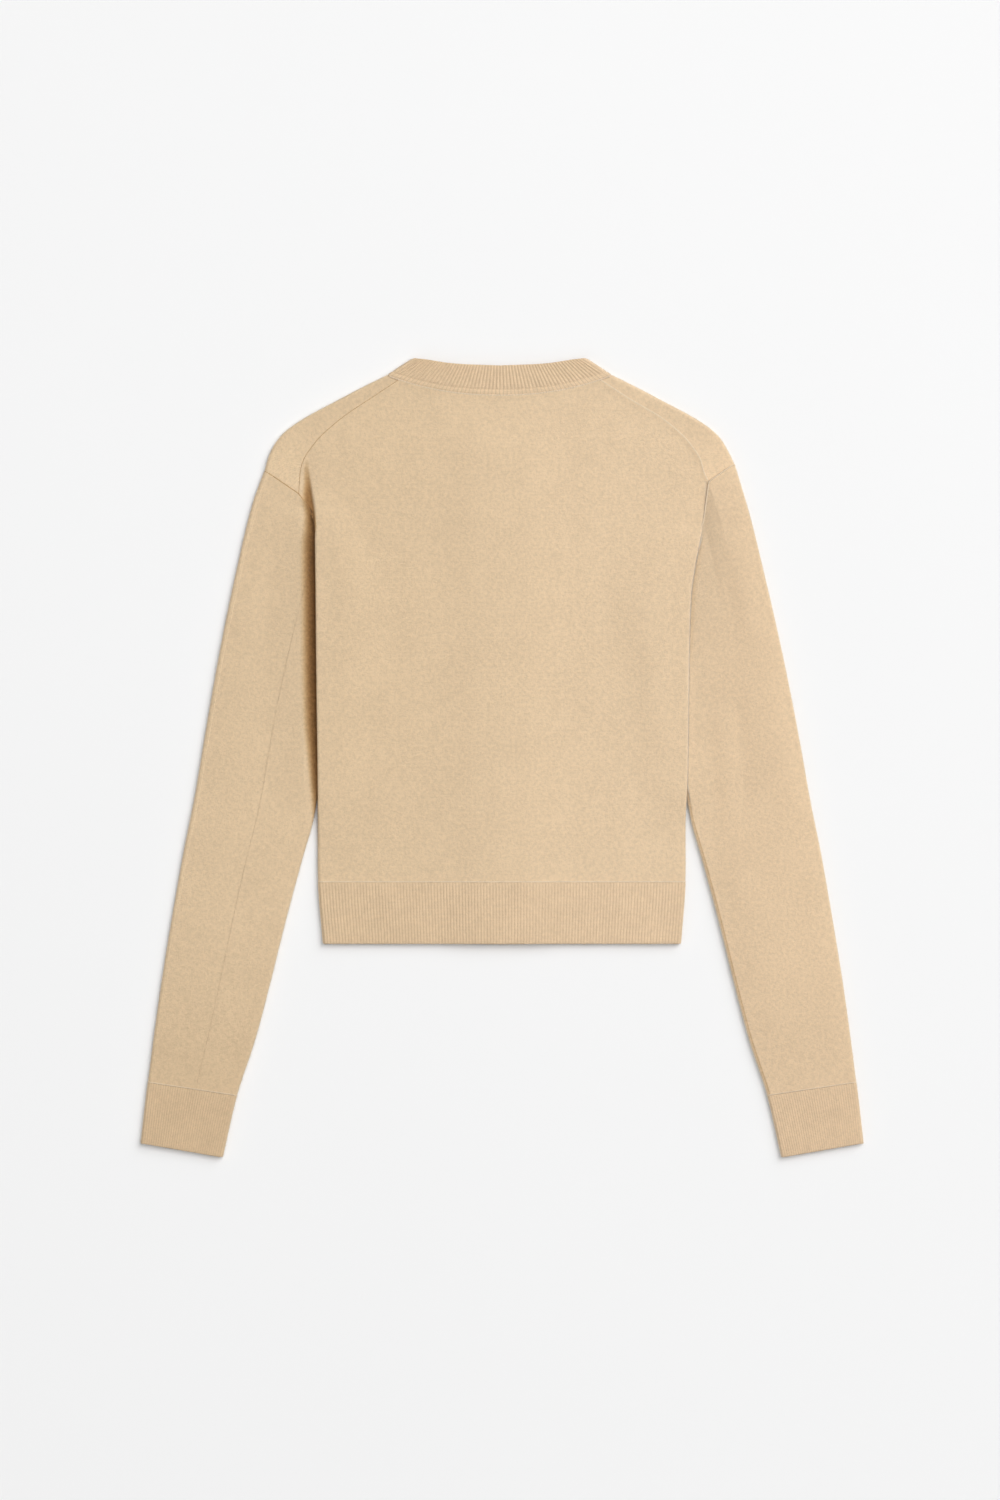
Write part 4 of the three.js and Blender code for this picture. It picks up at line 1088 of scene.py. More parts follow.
@dataclass(frozen=True)
class RibFinish:
    """One by one rib in the same wool: knit columns stand up and the purl ones between them lie back."""

    name: str = "rib_knit"
    colour: Colour = (0.75, 0.56, 0.371, 1.0)
    course: float = 1.3
    # least and most painted shade in the grooves between ribs
    groove: tuple[float, float] = (0.28, 0.68)

    def material(self) -> bpy.types.Material:
        """Stitches along each rib, with shade painted into the grooves, its darkness wandering from
        groove[0] to groove[1].
        """
        r = Recipe(self.name)
        u, v = r.uv()
        out = abs((u * (1 / LAY.rib_pitch)).fraction() - 0.5) * 2
        stitch = (v * (1 / self.course) + out * 0.5).wave()
        fine, lumps, cloud = r.noise(0.8, 3), r.noise(2.8, 2), r.noise(14, 2)
        groove = r.ramp(out, 0.55, 1.0)
        # stitch * 0.06 paints a little shade between stitches
        tone = r.ramp(fine * 0.35 + lumps * 0.4 + cloud * 0.25 + stitch * 0.06, 0.36, 0.7)
        crown = r.blend(tone, shade(self.colour, 0.905), shade(self.colour, 1.085))
        least, most = self.groove
        # how strongly shade is painted into the grooves, wandering over the rib
        groove_shade = r.ramp(r.noise(28, 1), 0.3, 0.65) * (most - least) + least
        colour = r.with_painted_falloff(r.blend(groove * groove_shade, crown, shade(self.colour, 0.82)))
        height = stitch * 0.14 + fine * 0.3 + lumps * 0.28
        return r.wool(r.with_painted_shade(colour), height, 0.15, 0.2)


@dataclass(frozen=True)
class ButtonFinish:
    """Satin resin in a horn colour, clouded, with fine turning marks."""

    name: str = "horn_resin"
    colour: Colour = (0.42, 0.27, 0.14, 1.0)

    def material(self) -> bpy.types.Material:
        """Streaks of lighter and darker horn under a satin surface."""
        r = Recipe(self.name)
        streak = r.noise(3.5, 4, (1, 0.35, 1))
        colour = r.blend(r.ramp(streak, 0.35, 0.65), shade(self.colour, 0.6), shade(self.colour, 1.5))
        return r.dress(
            Base_Color=colour, Specular_IOR_Level=0.5,
            Roughness=r.noise(1.2, 2) * 0.15 + 0.22, Normal=r.bump(r.noise(0.5, 2), 0.02),
        )


@dataclass(frozen=True)
class ThreadFinish:
    """Polyester sewing thread that matches the wool."""

    name: str = "sewing_thread"
    colour: Colour = (0.62, 0.45, 0.28, 1.0)

    def material(self) -> bpy.types.Material:
        """Twisted strands, seen as fine slanting lines."""
        r = Recipe(self.name)
        strand = r.noise(0.35, 2, (1, 0.4, 1))
        colour = r.blend(strand, shade(self.colour, 0.8), shade(self.colour, 1.15))
        return r.dress(Base_Color=colour, Roughness=0.6, Normal=r.bump(strand, 0.08))


@dataclass(frozen=True)
class FloorFinish:
    """Smooth matt white board."""

    name: str = "white_board"
    colour: Colour = (0.9, 0.9, 0.9, 1.0)

    def material(self) -> bpy.types.Material:
        """A faint unevenness of tone."""
        r = Recipe(self.name)
        colour = r.blend(r.noise(400, 1), shade(self.colour, 0.995), shade(self.colour, 1.005))
        return r.dress(Base_Color=colour, Roughness=0.9, Specular_IOR_Level=0.0)


# ------------------------------------------------------------------ pieces


@dataclass
class Piece(ABC):
    """A sewn or knitted piece that stands for a CAD solid of the same name.

    Attributes:
        name: Name of the piece, and of the node that it replaces after "cad".
        slot: Material slot; not used.
        flat: Width and length of the cut, in metres; not used.
        area: Flat area of the cut, in square metres; not used.
        rests_on: What the piece lies on; not used.
        linked: Rows along which it is linked to a neighbour, 0 for the first and -1 for the last.
        nap: Fibres to a square millimetre of its edges and folds.
    """

    name: str
    slot: str
    flat: tuple[float, float]
    area: float
    rests_on: tuple[str, ...] = ()
    linked: tuple[int, ...] = ()
    nap: float = 1.6

    @abstractmethod
    def cloth(self) -> Cloth:
        """The piece's wall."""

    def build(self, material: bpy.types.Material) -> None:
        """Make the piece's mesh, seam cords and nap, dress them, hide its CAD solid and log its faces."""
        cloth = self.cloth()
        points, quads = cloth.faces()
        made = make_mesh(f"{self.name}_cloth", points, quads, cloth.corner_uv(), cloth.point_painted_shade())
        self.dress(made, material)
        for number, row in enumerate(self.linked):
            line = cloth.seam_line(row, LAY.seam_gap / 2)
            self.dress(cord_mesh(f"{self.name}_seam_{number}", *line, cloth.tube), material)
        self.dress(nap_mesh(f"{self.name}_nap", cloth, self.nap, len(self.name)), material)
        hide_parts(self.name)
        LOG.info("%s: %d faces", made.name, len(quads))

    def dress(self, made: bpy.types.Object, material: bpy.types.Material) -> None:
        """Give an object of the piece its material, fixed to the garment."""
        made.data.materials.append(material)
        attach(made, "root")


UNEVENNESS = ((0.22, 46, 0.6, 11), (0.1, 17, 1.0, 12))  # height, size, stretch along y, seed


def settle(grid: Array, creases: Sequence[Crease] = ()) -> None:
    """Let a loose upper face sink and rise a little, the same on both sides of a seam, and add its creases.

    Args:
        grid: Points, changed in place where they lie on top.
        creases: Ridges and hollows.
    """
    x, y = grid[..., 0], grid[..., 1]
    lift = sum(height * value_noise(x, y * along, size, seed) for height, size, along, seed in UNEVENNESS)
    lift = lift + sum((crease.lift(x, y) for crease in creases), 0.0)
    grid[..., 2] += lift * smoothstep(grid[..., 2], 3.0, 6.0)


@dataclass(frozen=True)
class LeftValley:
    """The deep valley between the left sleeve and the body, which begins as a hollow in the back; shade is
    painted into it.

    Attributes:
        line: Its deepest line above the side fold, as x by y.
        hollow: Depth of the hollow in the back, by y.
        shade: How dark its painted shade is, by y.
        width: How far outward its painted shade reaches, by y.
    """

    line: Rows = ((205, -164.9), (212, -165.6), (218, -166.4), (228, -168), (239.4, -169.6), (255, -171.2))
    hollow: Rows = ((206, 0), (213, 1.8), (220, 3.0), (229, 3.2), (239, 2.4), (248, 1.2), (258, 0))
    shade: Rows = (
        (-80, 0), (-45, 0.5), (-20, 0.8), (30, 0.95), (90, 1), (175, 1), (193, 0.92),
        (210, 0.85), (228, 0.75), (237, 0.62), (245, 0.42), (254, 0.2), (264, 0),
    )
    width: Rows = (
        (-60, 6), (-30, 8), (0, 11), (40, 14.5), (190, 14.5), (205, 12), (216, 10), (228, 10), (237, 7.5),
        (245, 5.5), (264, 4.5),
    )

    def outward(self, x: Array, y: Array) -> Array:
        """Distance outward from its deepest line: from the body's edge, and from the hollow above that."""
        edge = LAY.lean(y) - LAY.body_edge(LEFT, y)
        start = self.line[0][0]
        deepest = np.where(y < start, edge, read_table(self.line, np.maximum(y, start)))
        return deepest - x

    def hollow_depth(self, x: Array, y: Array) -> Array:
        """Depth of the hollow in the back: steep toward the middle, soft outward."""
        off = self.outward(x, y)
        depth = np.maximum(read_table(self.hollow, y), 0) * (y > self.hollow[0][0])
        return depth * np.exp(-((off / np.where(off < 0, 1.9, 5.0)) ** 2))

    def depth(self, x: Array, y: Array) -> Array:
        """How strongly shade is painted on points in the valley, 0 to 1."""
        off = self.outward(x, y)
        reach = read_table(self.width, y)
        outward = falling(off / reach, 0.2, 1) ** 1.3
        fade = np.where(off < 0, falling(-off, 0.1, 2.6), outward)
        return np.clip(read_table(self.shade, y), 0, 1) * fade * (x < 0)


VALLEY = LeftValley()


def painted_edge_light(x: Array, y: Array) -> Array:
    """Painted light along the body's right edge: depth below 0 makes the crease beside the sleeve paler."""
    off = LAY.outboard(RIGHT, x, y)
    along = smoothstep(y, -40, -10) * falling(y, 236, 248)
    strength = 0.12 + 0.04 * smoothstep(y, 200, 225)
    return -strength * along * np.exp(-(off**2)) * (x > 0)


def painted_crease_shade(x: Array, y: Array) -> Array:
    """Shade painted on the right sleeve beside the body's edge, 0 to 1: a soft crease up to the corner."""
    off = LAY.outboard(RIGHT, x, y)
    along = smoothstep(y, 70, 130) * falling(y, 165, 205)
    return 0.1 * along * np.exp(-(((off - 1) / 2.4) ** 2)) * (x > 0)


@dataclass
class Back(Piece):
    """The back: flat over the fronts, turned under at its sides, cut up to the shoulders and the neck."""

    step: float = 3.2
    creases: tuple[Crease, ...] = (
        Crease((-150, 120), (-120, 190), 16, 0.5),
        Crease((150, 60), (118, 170), 18, 0.5),
    )
    ridge: float = 0.45
    ridge_run: tuple[float, float] = (0.8, 4.5)
    knots: int = 38
    fold_knots: int = 6
    shoulder_knots: int = CLOSE_KNOTS + EVEN_KNOTS

    def painted_fold_shade(self, grid: Array) -> Array:
        """Shade painted on points: on the left side's fold, in its lower part, and in the hollow above it.
        """
        x, y, z = grid[..., 0], grid[..., 1], grid[..., 2]
        off = VALLEY.outward(x, y)
        under = (z < LAY.side_top(LEFT, y) - LAY.pressed_fold) & (off > -30)
        lying = np.maximum(smoothstep(off, -0.7, 0.1), under) * np.clip(read_table(VALLEY.shade, y), 0, 1)
        on_left = mix(lying, VALLEY.depth(x, y), smoothstep(y, 198, 208)) * (x < 0)
        # painted shade on the left, plus painted light along the right edge
        return on_left + painted_edge_light(x, y)

    def lengths(self, side: SideLay, y: Array) -> Array:
        """Lengths of cloth past the fold at its seven knots, from the turned-under edge in."""
        arc = np.pi * LAY.side_radius(side, y)
        edge = LAY.turned_length(side, y)
        wanted = [(edge + arc) / 2, arc, arc * 2 / 3, arc / 3, 0.0, -4.0]
        lengths = [edge]
        for value in wanted:
            lengths.append(np.minimum(value, lengths[-1] - LAY.fold_step))
        return np.stack(lengths, -1)

    def cloth(self) -> Cloth:
        """Rows up the body; columns count 38 spans between knots, as its lower and upper edges do."""
        side_spans = [5, 4, 4, 5, 5, 5, 14, 14, 8]
        t = spread(side_spans + [6] * 20 + side_spans[::-1], True, True)
        low = evenly(LAY.hem_top_y + LAY.seam_gap, LAY.underarm_y, self.step, True, False)
        f = np.linspace(0, 1, 24)[1:]
        run = np.linspace(0, LAY.fold_start_run, 15)[1:]
        sides = []
        for side, from_edge in ((LEFT, t), (RIGHT, self.knots - t)):
            start = side.fold_start[1] - LAY.fold_start_run
            y = np.concatenate([low, mix(LAY.underarm_y, start, f), start + run])
            q = at_knots(self.lengths(side, y), np.minimum(from_edge, self.fold_knots))
            sides.append(LAY.side_section(side, y[:, None], q))
        start, end = sides
        last_knot = self.knots - self.fold_knots
        f = np.clip((t - self.fold_knots) / (last_knot - self.fold_knots), 0, 1)[:, None]
        across = mix(start, end, f)
        across[..., 2] = LAY.back_top(across[..., 0], across[..., 1])
        across[..., 3] = across[..., 0]
        rows = np.where((t >= last_knot)[:, None], end, across)
        rows = np.where((t <= self.fold_knots)[:, None], start, rows)
        edge = self.top_edge(t)
        up = np.concatenate([np.linspace(0, 0.98, 40)[1:], [0.99, 0.9955, 0.9987, 1.0]])[:, None, None]
        plan = mix(rows[-1, :, :2], edge, up)
        upper = raised(plan, LAY.back_top(plan[..., 0], plan[..., 1]))
        points = np.concatenate([rows, np.concatenate([upper, plan[..., :1]], -1)])
        grid = points[..., :3].copy()
        settle(grid, self.creases)
        grid[..., 2] -= VALLEY.hollow_depth(grid[..., 0], grid[..., 1]) * (grid[..., 2] > 5.6)
        from_bottom = running_length(np.swapaxes(grid, 0, 1)).T
        from_top = from_bottom[-1:] - from_bottom
        ridge = self.ridge * falling(from_top, *self.ridge_run) * smoothstep(grid[..., 1], 225, 240)
        return Cloth(grid, points[..., [3, 1]], LAY.cloth, relief=ridge, depth=self.painted_fold_shade(grid))

    def top_edge(self, t: Array) -> Array:
        """The top edge's plan: up the left shoulder seam, along the neckline, down the right seam."""
        seams = [LAY.shoulder_seam(side) for side in (LEFT, RIGHT)]
        left, right = (
            seam.at(at_knots(LAY.seam_distances(seam.length), np.clip(k, 0, self.shoulder_knots)))
            for seam, k in zip(seams, (t, self.knots - t))
        )
        ends = [seam.points[-1, 0] for seam in seams]
        first, last = self.shoulder_knots, self.knots - self.shoulder_knots
        x = mix(*ends, np.clip((t - first) / (last - first), 0, 1))
        neck = stacked(x, LAY.back_neck_y(x))
        return np.where((t <= first)[:, None], left, np.where((t >= last)[:, None], right, neck))


@dataclass
class Front(Piece):
    """A front panel: under the back, up the band and round the neckline, and wrapped over the shoulder."""

    side: SideLay = LEFT
    step: float = 2.6

    def fold_point(self, distance: Array, outward_part: Array) -> Array:
        """Plan points of the shoulder fold, moved in from its outline by part of its radius.

        Args:
            distance: Distances along the fold.
            outward_part: 1 on the outline, 0 a radius inside it.

        Returns:
            Plan points.
        """
        fold = LAY.shoulder_fold(self.side)
        f = distance / fold.length
        tangent = fold.tangent(distance)
        own = stacked(-self.side.sign * tangent[..., 1], self.side.sign * tangent[..., 0])
        own = np.where(own[..., 1:] < 0, -own, own)
        near_head = falling(f, 0, 0.12)[..., None]
        near_neck = smoothstep(f, 0.85, 1)[..., None]
        outward = own * (1 - near_head - near_neck)
        outward = unit(outward + self.side.head_outward * near_head + self.side.neck_outward * near_neck)
        return fold.at(distance) + outward * LAY.fold * (np.asarray(outward_part)[..., None] - 1)

    def inner_edge(self, f: Array) -> Array:
        """The inner edge above the underarm: up the band for a third, then round the neckline."""
        band_end = 1 / 3
        start = LAY.front_neck(self.side, np.array(LAY.lowest_neck))
        start[0] = self.side.sign * (LAY.band_half + LAY.seam_gap)
        up = mix(np.array([start[0], LAY.underarm_y]), start, (f / band_end)[:, None])
        neck = LAY.front_neck(self.side, LAY.lowest_neck * (1 - (f - band_end) / (1 - band_end)))
        return np.where((f <= band_end)[:, None], up, neck)

    def cloth(self) -> Cloth:
        """Rows up the panel, round the shoulder fold and over to the shoulder seam."""
        side = self.side
        t = spread([5] + [2] * 5 + [7] * 8, True, True)
        low_y = evenly(LAY.hem_top_y + LAY.seam_gap, 130, self.step, True, False)
        low, low_u = LAY.front_row(side, low_y, t)
        fold = LAY.shoulder_fold(side)
        along_fold = at_knots(LAY.seam_distances(fold.length), t)
        base = self.fold_point(along_fold, np.zeros_like(along_fold))
        straight = mix(base[0], base[-1], (along_fold / fold.length)[:, None])
        rise = np.linspace(0, 1, 49)[:-1]
        start, end = LAY.front_armhole(side, rise), self.inner_edge(rise)
        length = np.linalg.norm(end - start, axis=-1)
        part = (at_knots(LAY.seam_distances(length), t) / length[:, None])[..., None]
        plan = mix(start[:, None], end[:, None], part) + (base - straight) * rise[:, None, None] ** 3
        chest = raised(plan, LAY.front_low(side, plan[..., 0], plan[..., 1]))
        angles = np.linspace(0, np.pi, 15)[:, None]
        turn_plan = self.fold_point(np.broadcast_to(along_fold, (len(angles), len(t))), np.sin(angles))
        turn = raised(turn_plan, LAY.fold * (1 - np.cos(angles)))
        seam = LAY.shoulder_seam(side)
        seam_points = seam.at(at_knots(LAY.seam_distances(seam.length), t))
        reach = np.maximum(np.linalg.norm(seam_points - turn_plan[-1], axis=-1), 1)
        f = np.concatenate([np.linspace(0, 1, 22)[1:-1], [0.975, 0.988, 0.996, 1.0]])[:, None]
        shortened = f * (1 - f * LAY.seam_gap / reach)
        over_plan = mix(turn_plan[-1], seam_points, shortened[..., None])
        grid = np.concatenate([low, chest, turn, raised(over_plan, 2 * LAY.fold)])
        upward = unit(base[0] - base[-1])[::-1] * np.array([-1, 1])
        upward = upward if upward[1] > 0 else -upward
        rolled = base + upward * LAY.fold * angles[..., None]
        past_fold = ((over_plan - base) @ upward)[..., None]
        mirrored = over_plan - 2 * past_fold * upward + upward * np.pi * LAY.fold
        uv = np.concatenate([stacked(low_u, low[..., 1]), chest[..., :2], rolled, mirrored])
        settle(grid)
        return Cloth(grid, uv, LAY.cloth).facing(side.sign)


# ------------------------------------------------------------------ tubes lying flat


@dataclass
class FlatTube(Piece):
    """A tube lying flat, in rings: over the top from the inner fold to the outer one, and back below."""

    side: SideLay = LEFT

    def folds(self, outer_y: Array, inner_y: Array, inner_radius: Array) -> dict[str, Array]:
        """Centres and outward directions of both folds at rings that meet them at heights.

        Args:
            outer_y: Where each ring meets the outer fold.
            inner_y: Where it meets the inner fold.
            inner_radius: Radius of the inner fold.

        Returns:
            Plan arrays by name.
        """
        side = self.side
        outer_out = LAY.outward(LAY.outline, side.sign, outer_y)
        inner_out = -LAY.outward(LAY.sleeve_inner, side.sign, inner_y)
        outer = LAY.plan(side, read_table(LAY.outline, outer_y), outer_y) - LAY.fold * outer_out
        inner = LAY.plan(side, read_table(LAY.sleeve_inner, inner_y), inner_y)
        inner = inner - inner_radius[:, None] * inner_out
        return {"outer": outer, "outer_out": outer_out, "inner": inner, "inner_out": inner_out}

    @staticmethod
    def arc(centre: Array, outward: Array, radius: Array, f: Array) -> Array:
        """A fold that turns from the top layer, f = 0, down to the bottom one, f = 1."""
        angle = np.pi * f
        plan = centre[:, None] + outward[:, None] * (radius[:, None] * np.sin(angle))[..., None]
        return raised(plan, radius[:, None] * (1 + np.cos(angle)))

    def rings(
        self, folds: dict[str, Array], radius: Array, top: Array, bottom: Array, turns: tuple[int, int]
    ) -> Array:
        """Whole rings, in the order inner fold, top, outer fold, bottom.

        Args:
            folds: What folds() gives.
            radius: Radius of the inner fold, by ring.
            top: Points between the folds on top.
            bottom: Points between them below, from the outer fold back.
            turns: Spans round the inner fold and round the outer one.

        Returns:
            Points.
        """
        inner_turn, outer_turn = (np.linspace(0, 1, spans + 1) for spans in turns)
        inner = self.arc(folds["inner"], folds["inner_out"], radius, inner_turn)[:, ::-1]
        outer = self.arc(folds["outer"], folds["outer_out"], np.full(len(radius), LAY.fold), outer_turn)
        return np.concatenate([inner, top, outer, bottom], 1)


SLEEVE_ROWS: Rows = (
    (-283.65, -295.65), (-240, -253), (-195, -209), (-142, -159), (-89, -109), (-50, -70), (-14, -38),
    (17, -14), (50, 10), (87, 34), (124, 58), (163, 84), (200, 108), (230, 126),
)


@dataclass(frozen=True)
class Valley:
    """How a sleeve falls toward the body's side fold.

    Attributes:
        drop: How far its highest line lies below the body's top, by y.
        floor: Its height beside the fold.
        start: How far outside the fold it begins to rise.
        end: And where it reaches its highest line.
        far: Where the body's height no longer matters to it.
    """

    drop: Rows
    floor: float
    start: float
    end: float
    far: float = 46.0


@dataclass
class Sleeve(FlatTube):
    """A sleeve, pressed flat where the body lies on it, up to the sleeve seam.

    Attributes:
        valley: How it falls toward the body.
        outer_swell: How much higher it is near its outer fold.
        outer_run: How far in from that fold it takes to rise.
        creases: Its creases.
        body_rings: Spans up to the first ring that meets the underarm.
        turns: Spans round the inner and outer folds.
        top_spans: Stretches of its upper face from the inner fold, 0, to the outer one, 1, and their spans.
        bottom_columns: Spans across its lower face.
        seam_inset: How far on top of the inner fold the underarm seam shows.
        seam_width: Width of the groove along it.
        seam_groove: Depth of that groove.
    """

    valley: Valley = Valley(((0, 0.6), (200, 0.6)), 3.9, 1.0, 12.5)
    outer_swell: float = 0.4
    outer_run: float = 22.0
    creases: tuple[Crease, ...] = ()
    body_rings: int = 171
    turns: tuple[int, int] = (18, 10)
    top_spans: tuple[tuple[float, float, int], ...] = ((0, 0.05, 12), (0.05, 0.46, 61), (0.46, 1, 27))
    bottom_columns: int = 20
    seam_inset: float = -0.9
    seam_width: float = 0.55
    seam_groove: float = 0.3

    def seam_on_back(self, f: Array | float) -> Array:
        """The sleeve seam on the back by its length: from the underarm over the corner to the top."""
        side = self.side
        inner, outer = self.head_folds()
        beside = [LAY.plan(side, LAY.body_edge(side, np.array(y)) + 0.2, y) for y in side.seam_bend]
        path = np.array([inner, *beside, side.fold_start, side.corner, outer])
        s = running_length(path)
        return on_line(path, s, f * s[-1])

    def underarm_out(self) -> Array:
        """Direction from the sleeve's inner fold to the body at the underarm."""
        return -LAY.outward(LAY.sleeve_inner, self.side.sign, np.array([LAY.underarm_y]))[0]

    def head_folds(self) -> tuple[Array, Array]:
        """Plan centres of the inner and outer folds at the sleeve seam."""
        inner = LAY.underarm(self.side) - LAY.pressed_fold * self.underarm_out()
        return inner, np.array(self.side.head) - LAY.fold * self.side.head_outward

    def ring_plans(self) -> tuple[dict[str, Array], Array, Array]:
        """Folds, inner radii and bow of every ring; the last one has all of the sleeve seam's bow."""
        side = self.side
        rows = np.array(SLEEVE_ROWS)
        last = len(rows) - 1
        k = np.concatenate([[0, 0.003, 0.009, 0.02], np.linspace(0, last, self.body_rings + 1)[1:]])
        outer_y, inner_y = (np.interp(k, np.arange(len(rows)), rows[:, c]) for c in (0, 1))
        radius = mix(LAY.fold, LAY.pressed_fold, LAY.pressed(inner_y))
        folds = self.folds(outer_y, inner_y, radius)
        f = np.concatenate([np.linspace(0, 1, 12)[1:-1], [0.97, 0.988, 0.996, 1.0]])[:, None]
        off_seam = np.array([side.sign * 0.83, -0.56]) * (LAY.seam_gap + 0.15)
        inner, outer = (centre + off_seam for centre in self.head_folds())
        head = {
            "outer": outer, "outer_out": side.head_outward,
            "inner": inner, "inner_out": self.underarm_out(),
        }
        joined = {
            name: np.concatenate([fold, mix(fold[-1], head[name], f)]) for name, fold in folds.items()
        }
        radius = np.concatenate([radius, np.full(len(f), LAY.pressed_fold)])
        k = np.concatenate([k, last + f[:, 0]])
        return joined, radius, smoothstep(k / (last + 1), 0.45, 1) ** 1.5

    def top_height(self, plan: Array, f: Array, radius: Array) -> Array:
        """Height of the upper face: pressed down under the body's fold and swelling beside it.

        Args:
            plan: Plan points, as rings, columns, 2.
            f: Way from the inner fold to the outer one, by column.
            radius: Radius of the inner fold, by ring.

        Returns:
            Heights.
        """
        x, y = plan[..., 0], plan[..., 1]
        valley, start = self.valley, self.side.fold_start[1]
        outboard = LAY.outboard(self.side, x, y)
        width = np.linalg.norm(plan[:, -1] - plan[:, 0], axis=-1)[:, None]
        past_inner = smoothstep(f, 0, 0.3)
        from_outer = np.clip((1 - f) * width / self.outer_run, 0, 1)
        swell = LAY.sleeve_crown * np.sin(np.pi * f)
        swell = swell + self.outer_swell * (1 - (1 - from_outer) ** 3) * past_inner
        above_cuff = smoothstep(y, LAY.cuff_top_y, LAY.cuff_top_y + 65)
        loose = mix(2 * radius[:, None], 2 * LAY.fold, past_inner) + swell * above_cuff
        along = LAY.pressed(y) * falling(y, start - 2, self.side.corner[1] + 2)
        beside = LAY.side_top(self.side, np.minimum(y, start)) - read_table(valley.drop, y)
        high = mix(loose, beside, along * falling(outboard, valley.end, valley.far))
        floor = mix(valley.floor, LAY.corner_top, smoothstep(y, start - 20, start + 1))
        return mix(high, floor, along * falling(outboard, valley.start, valley.end))

    def cloth(self) -> Cloth:
        """Rings from the cuff up to the sleeve seam."""
        side = self.side
        folds, radius, bow = self.ring_plans()
        inner, outer = folds["inner"][:, None], folds["outer"][:, None]
        bow = bow[:, None, None]
        f = np.concatenate([np.linspace(low, high, n + 1)[1:] for low, high, n in self.top_spans])[:-1]
        fold_column = self.turns[0] + len(f) + 1 + self.turns[1] // 2
        seam = self.seam_on_back(f) - mix(self.seam_on_back(0.0), self.seam_on_back(1.0), f[:, None])
        plan = mix(inner, outer, f[:, None]) + seam * bow
        top = raised(plan, self.top_height(plan, f, radius))
        f = np.linspace(1, 0, self.bottom_columns + 1)[1:-1]
        armhole_top = LAY.front_armhole(side, np.array(1.0))
        armhole = LAY.front_armhole(side, f) - mix(LAY.underarm(side), armhole_top, f[:, None])
        bottom = raised(mix(inner, outer, f[:, None]) + armhole * bow, 0.0)
        grid = self.rings(folds, radius, top, bottom, self.turns)
        settle(grid, self.creases)
        across = running_length(wrapped(grid))
        across = across - across[:, fold_column : fold_column + 1]
        along = running_length(grid[None, :, fold_column])[0]
        uv = stacked(across * side.sign, along[:, None])
        inner_column = self.turns[0]
        from_inner = (across - across[:, inner_column : inner_column + 1])[:, :-1]
        free = falling(folds["inner"][:, 1], -50, -15) * (side.sign > 0)
        groove = np.exp(-(((from_inner - self.seam_inset) / self.seam_width) ** 2)) * free[:, None]
        x, y = grid[..., 0], grid[..., 1]
        # painted shade in the left valley and the right crease, painted light along the body's right edge,
        # and painted shade in the underarm seam's groove
        depth = VALLEY.depth(x, y) + painted_edge_light(x, y) + painted_crease_shade(x, y) + 0.25 * groove
        relief = -self.seam_groove * groove
        return Cloth(grid, uv, LAY.cloth, True, relief, depth=depth).facing(side.sign)


@dataclass
class Cuff(FlatTube):
    """A cuff: a tube of rib, deeper on its outer fold than the slant of its ends."""

    ribs: int = 34
    fold_ribs: int = 4
    rib_rise: float = 0.3
    depth: float = 54.0
    outer_bottom_y: float = -338.0
    inner_bottom_y: float = -350.0

    def cloth(self) -> Cloth:
        """Rings from the cuff's edge up to the sleeve; the ribs run along it."""
        f = np.linspace(0, 1, 15)[1:-1]
        f = np.concatenate([[0, 0.0025, 0.008, 0.018], f, [0.985, 1.0]])
        radius = np.full(len(f), LAY.fold)
        rise = mix(0, self.depth + LAY.seam_gap, f)
        folds = self.folds(self.outer_bottom_y + rise, self.inner_bottom_y + rise, radius)
        inner, outer = folds["inner"][:, None], folds["outer"][:, None]
        across = rib_phase(self.ribs)[1:-1, None] / self.ribs
        top = raised(mix(inner, outer, across), 2 * LAY.fold)
        bottom = raised(mix(inner, outer, across[::-1]), 0.0)
        turn = self.fold_ribs * LAY.per_rib
        grid = self.rings(folds, radius, top, bottom, (turn, turn))
        settle(grid)
        phase = np.arange(grid.shape[1] + 1) / LAY.per_rib
        below = falling(grid[..., 2], 1.0, 3.4)
        end_fade = 1 - 0.6 * smoothstep(f, 0.965, 0.985)
        relief = self.rib_rise * (rib_crown(phase[:-1]) - below) * end_fade[:, None]
        uv = stacked(phase * LAY.rib_pitch, self.depth * f[:, None])
        return Cloth(grid, uv, LAY.rib_wall, True, relief, RIB_EDGES).facing(self.side.sign)


# ------------------------------------------------------------------ hem rib


def hem_heights(top: float) -> Array:
    """Heights of a hem rib's rows, closer at its free edge and where it meets the body."""
    rows = evenly(LAY.hem_bottom_y, top - 2.6, 4.0, True, False)
    return np.concatenate([rows, top - np.array([1.8, 1.2, 0.6, 0.0])])


def transition(y: Array) -> Array:
    """Part of a rib's height left at y: the ribs sink into a flat row of loops where they meet the body."""
    return 1 - 0.8 * smoothstep(y, LAY.hem_top_y - 2.0, LAY.hem_top_y - 0.9)


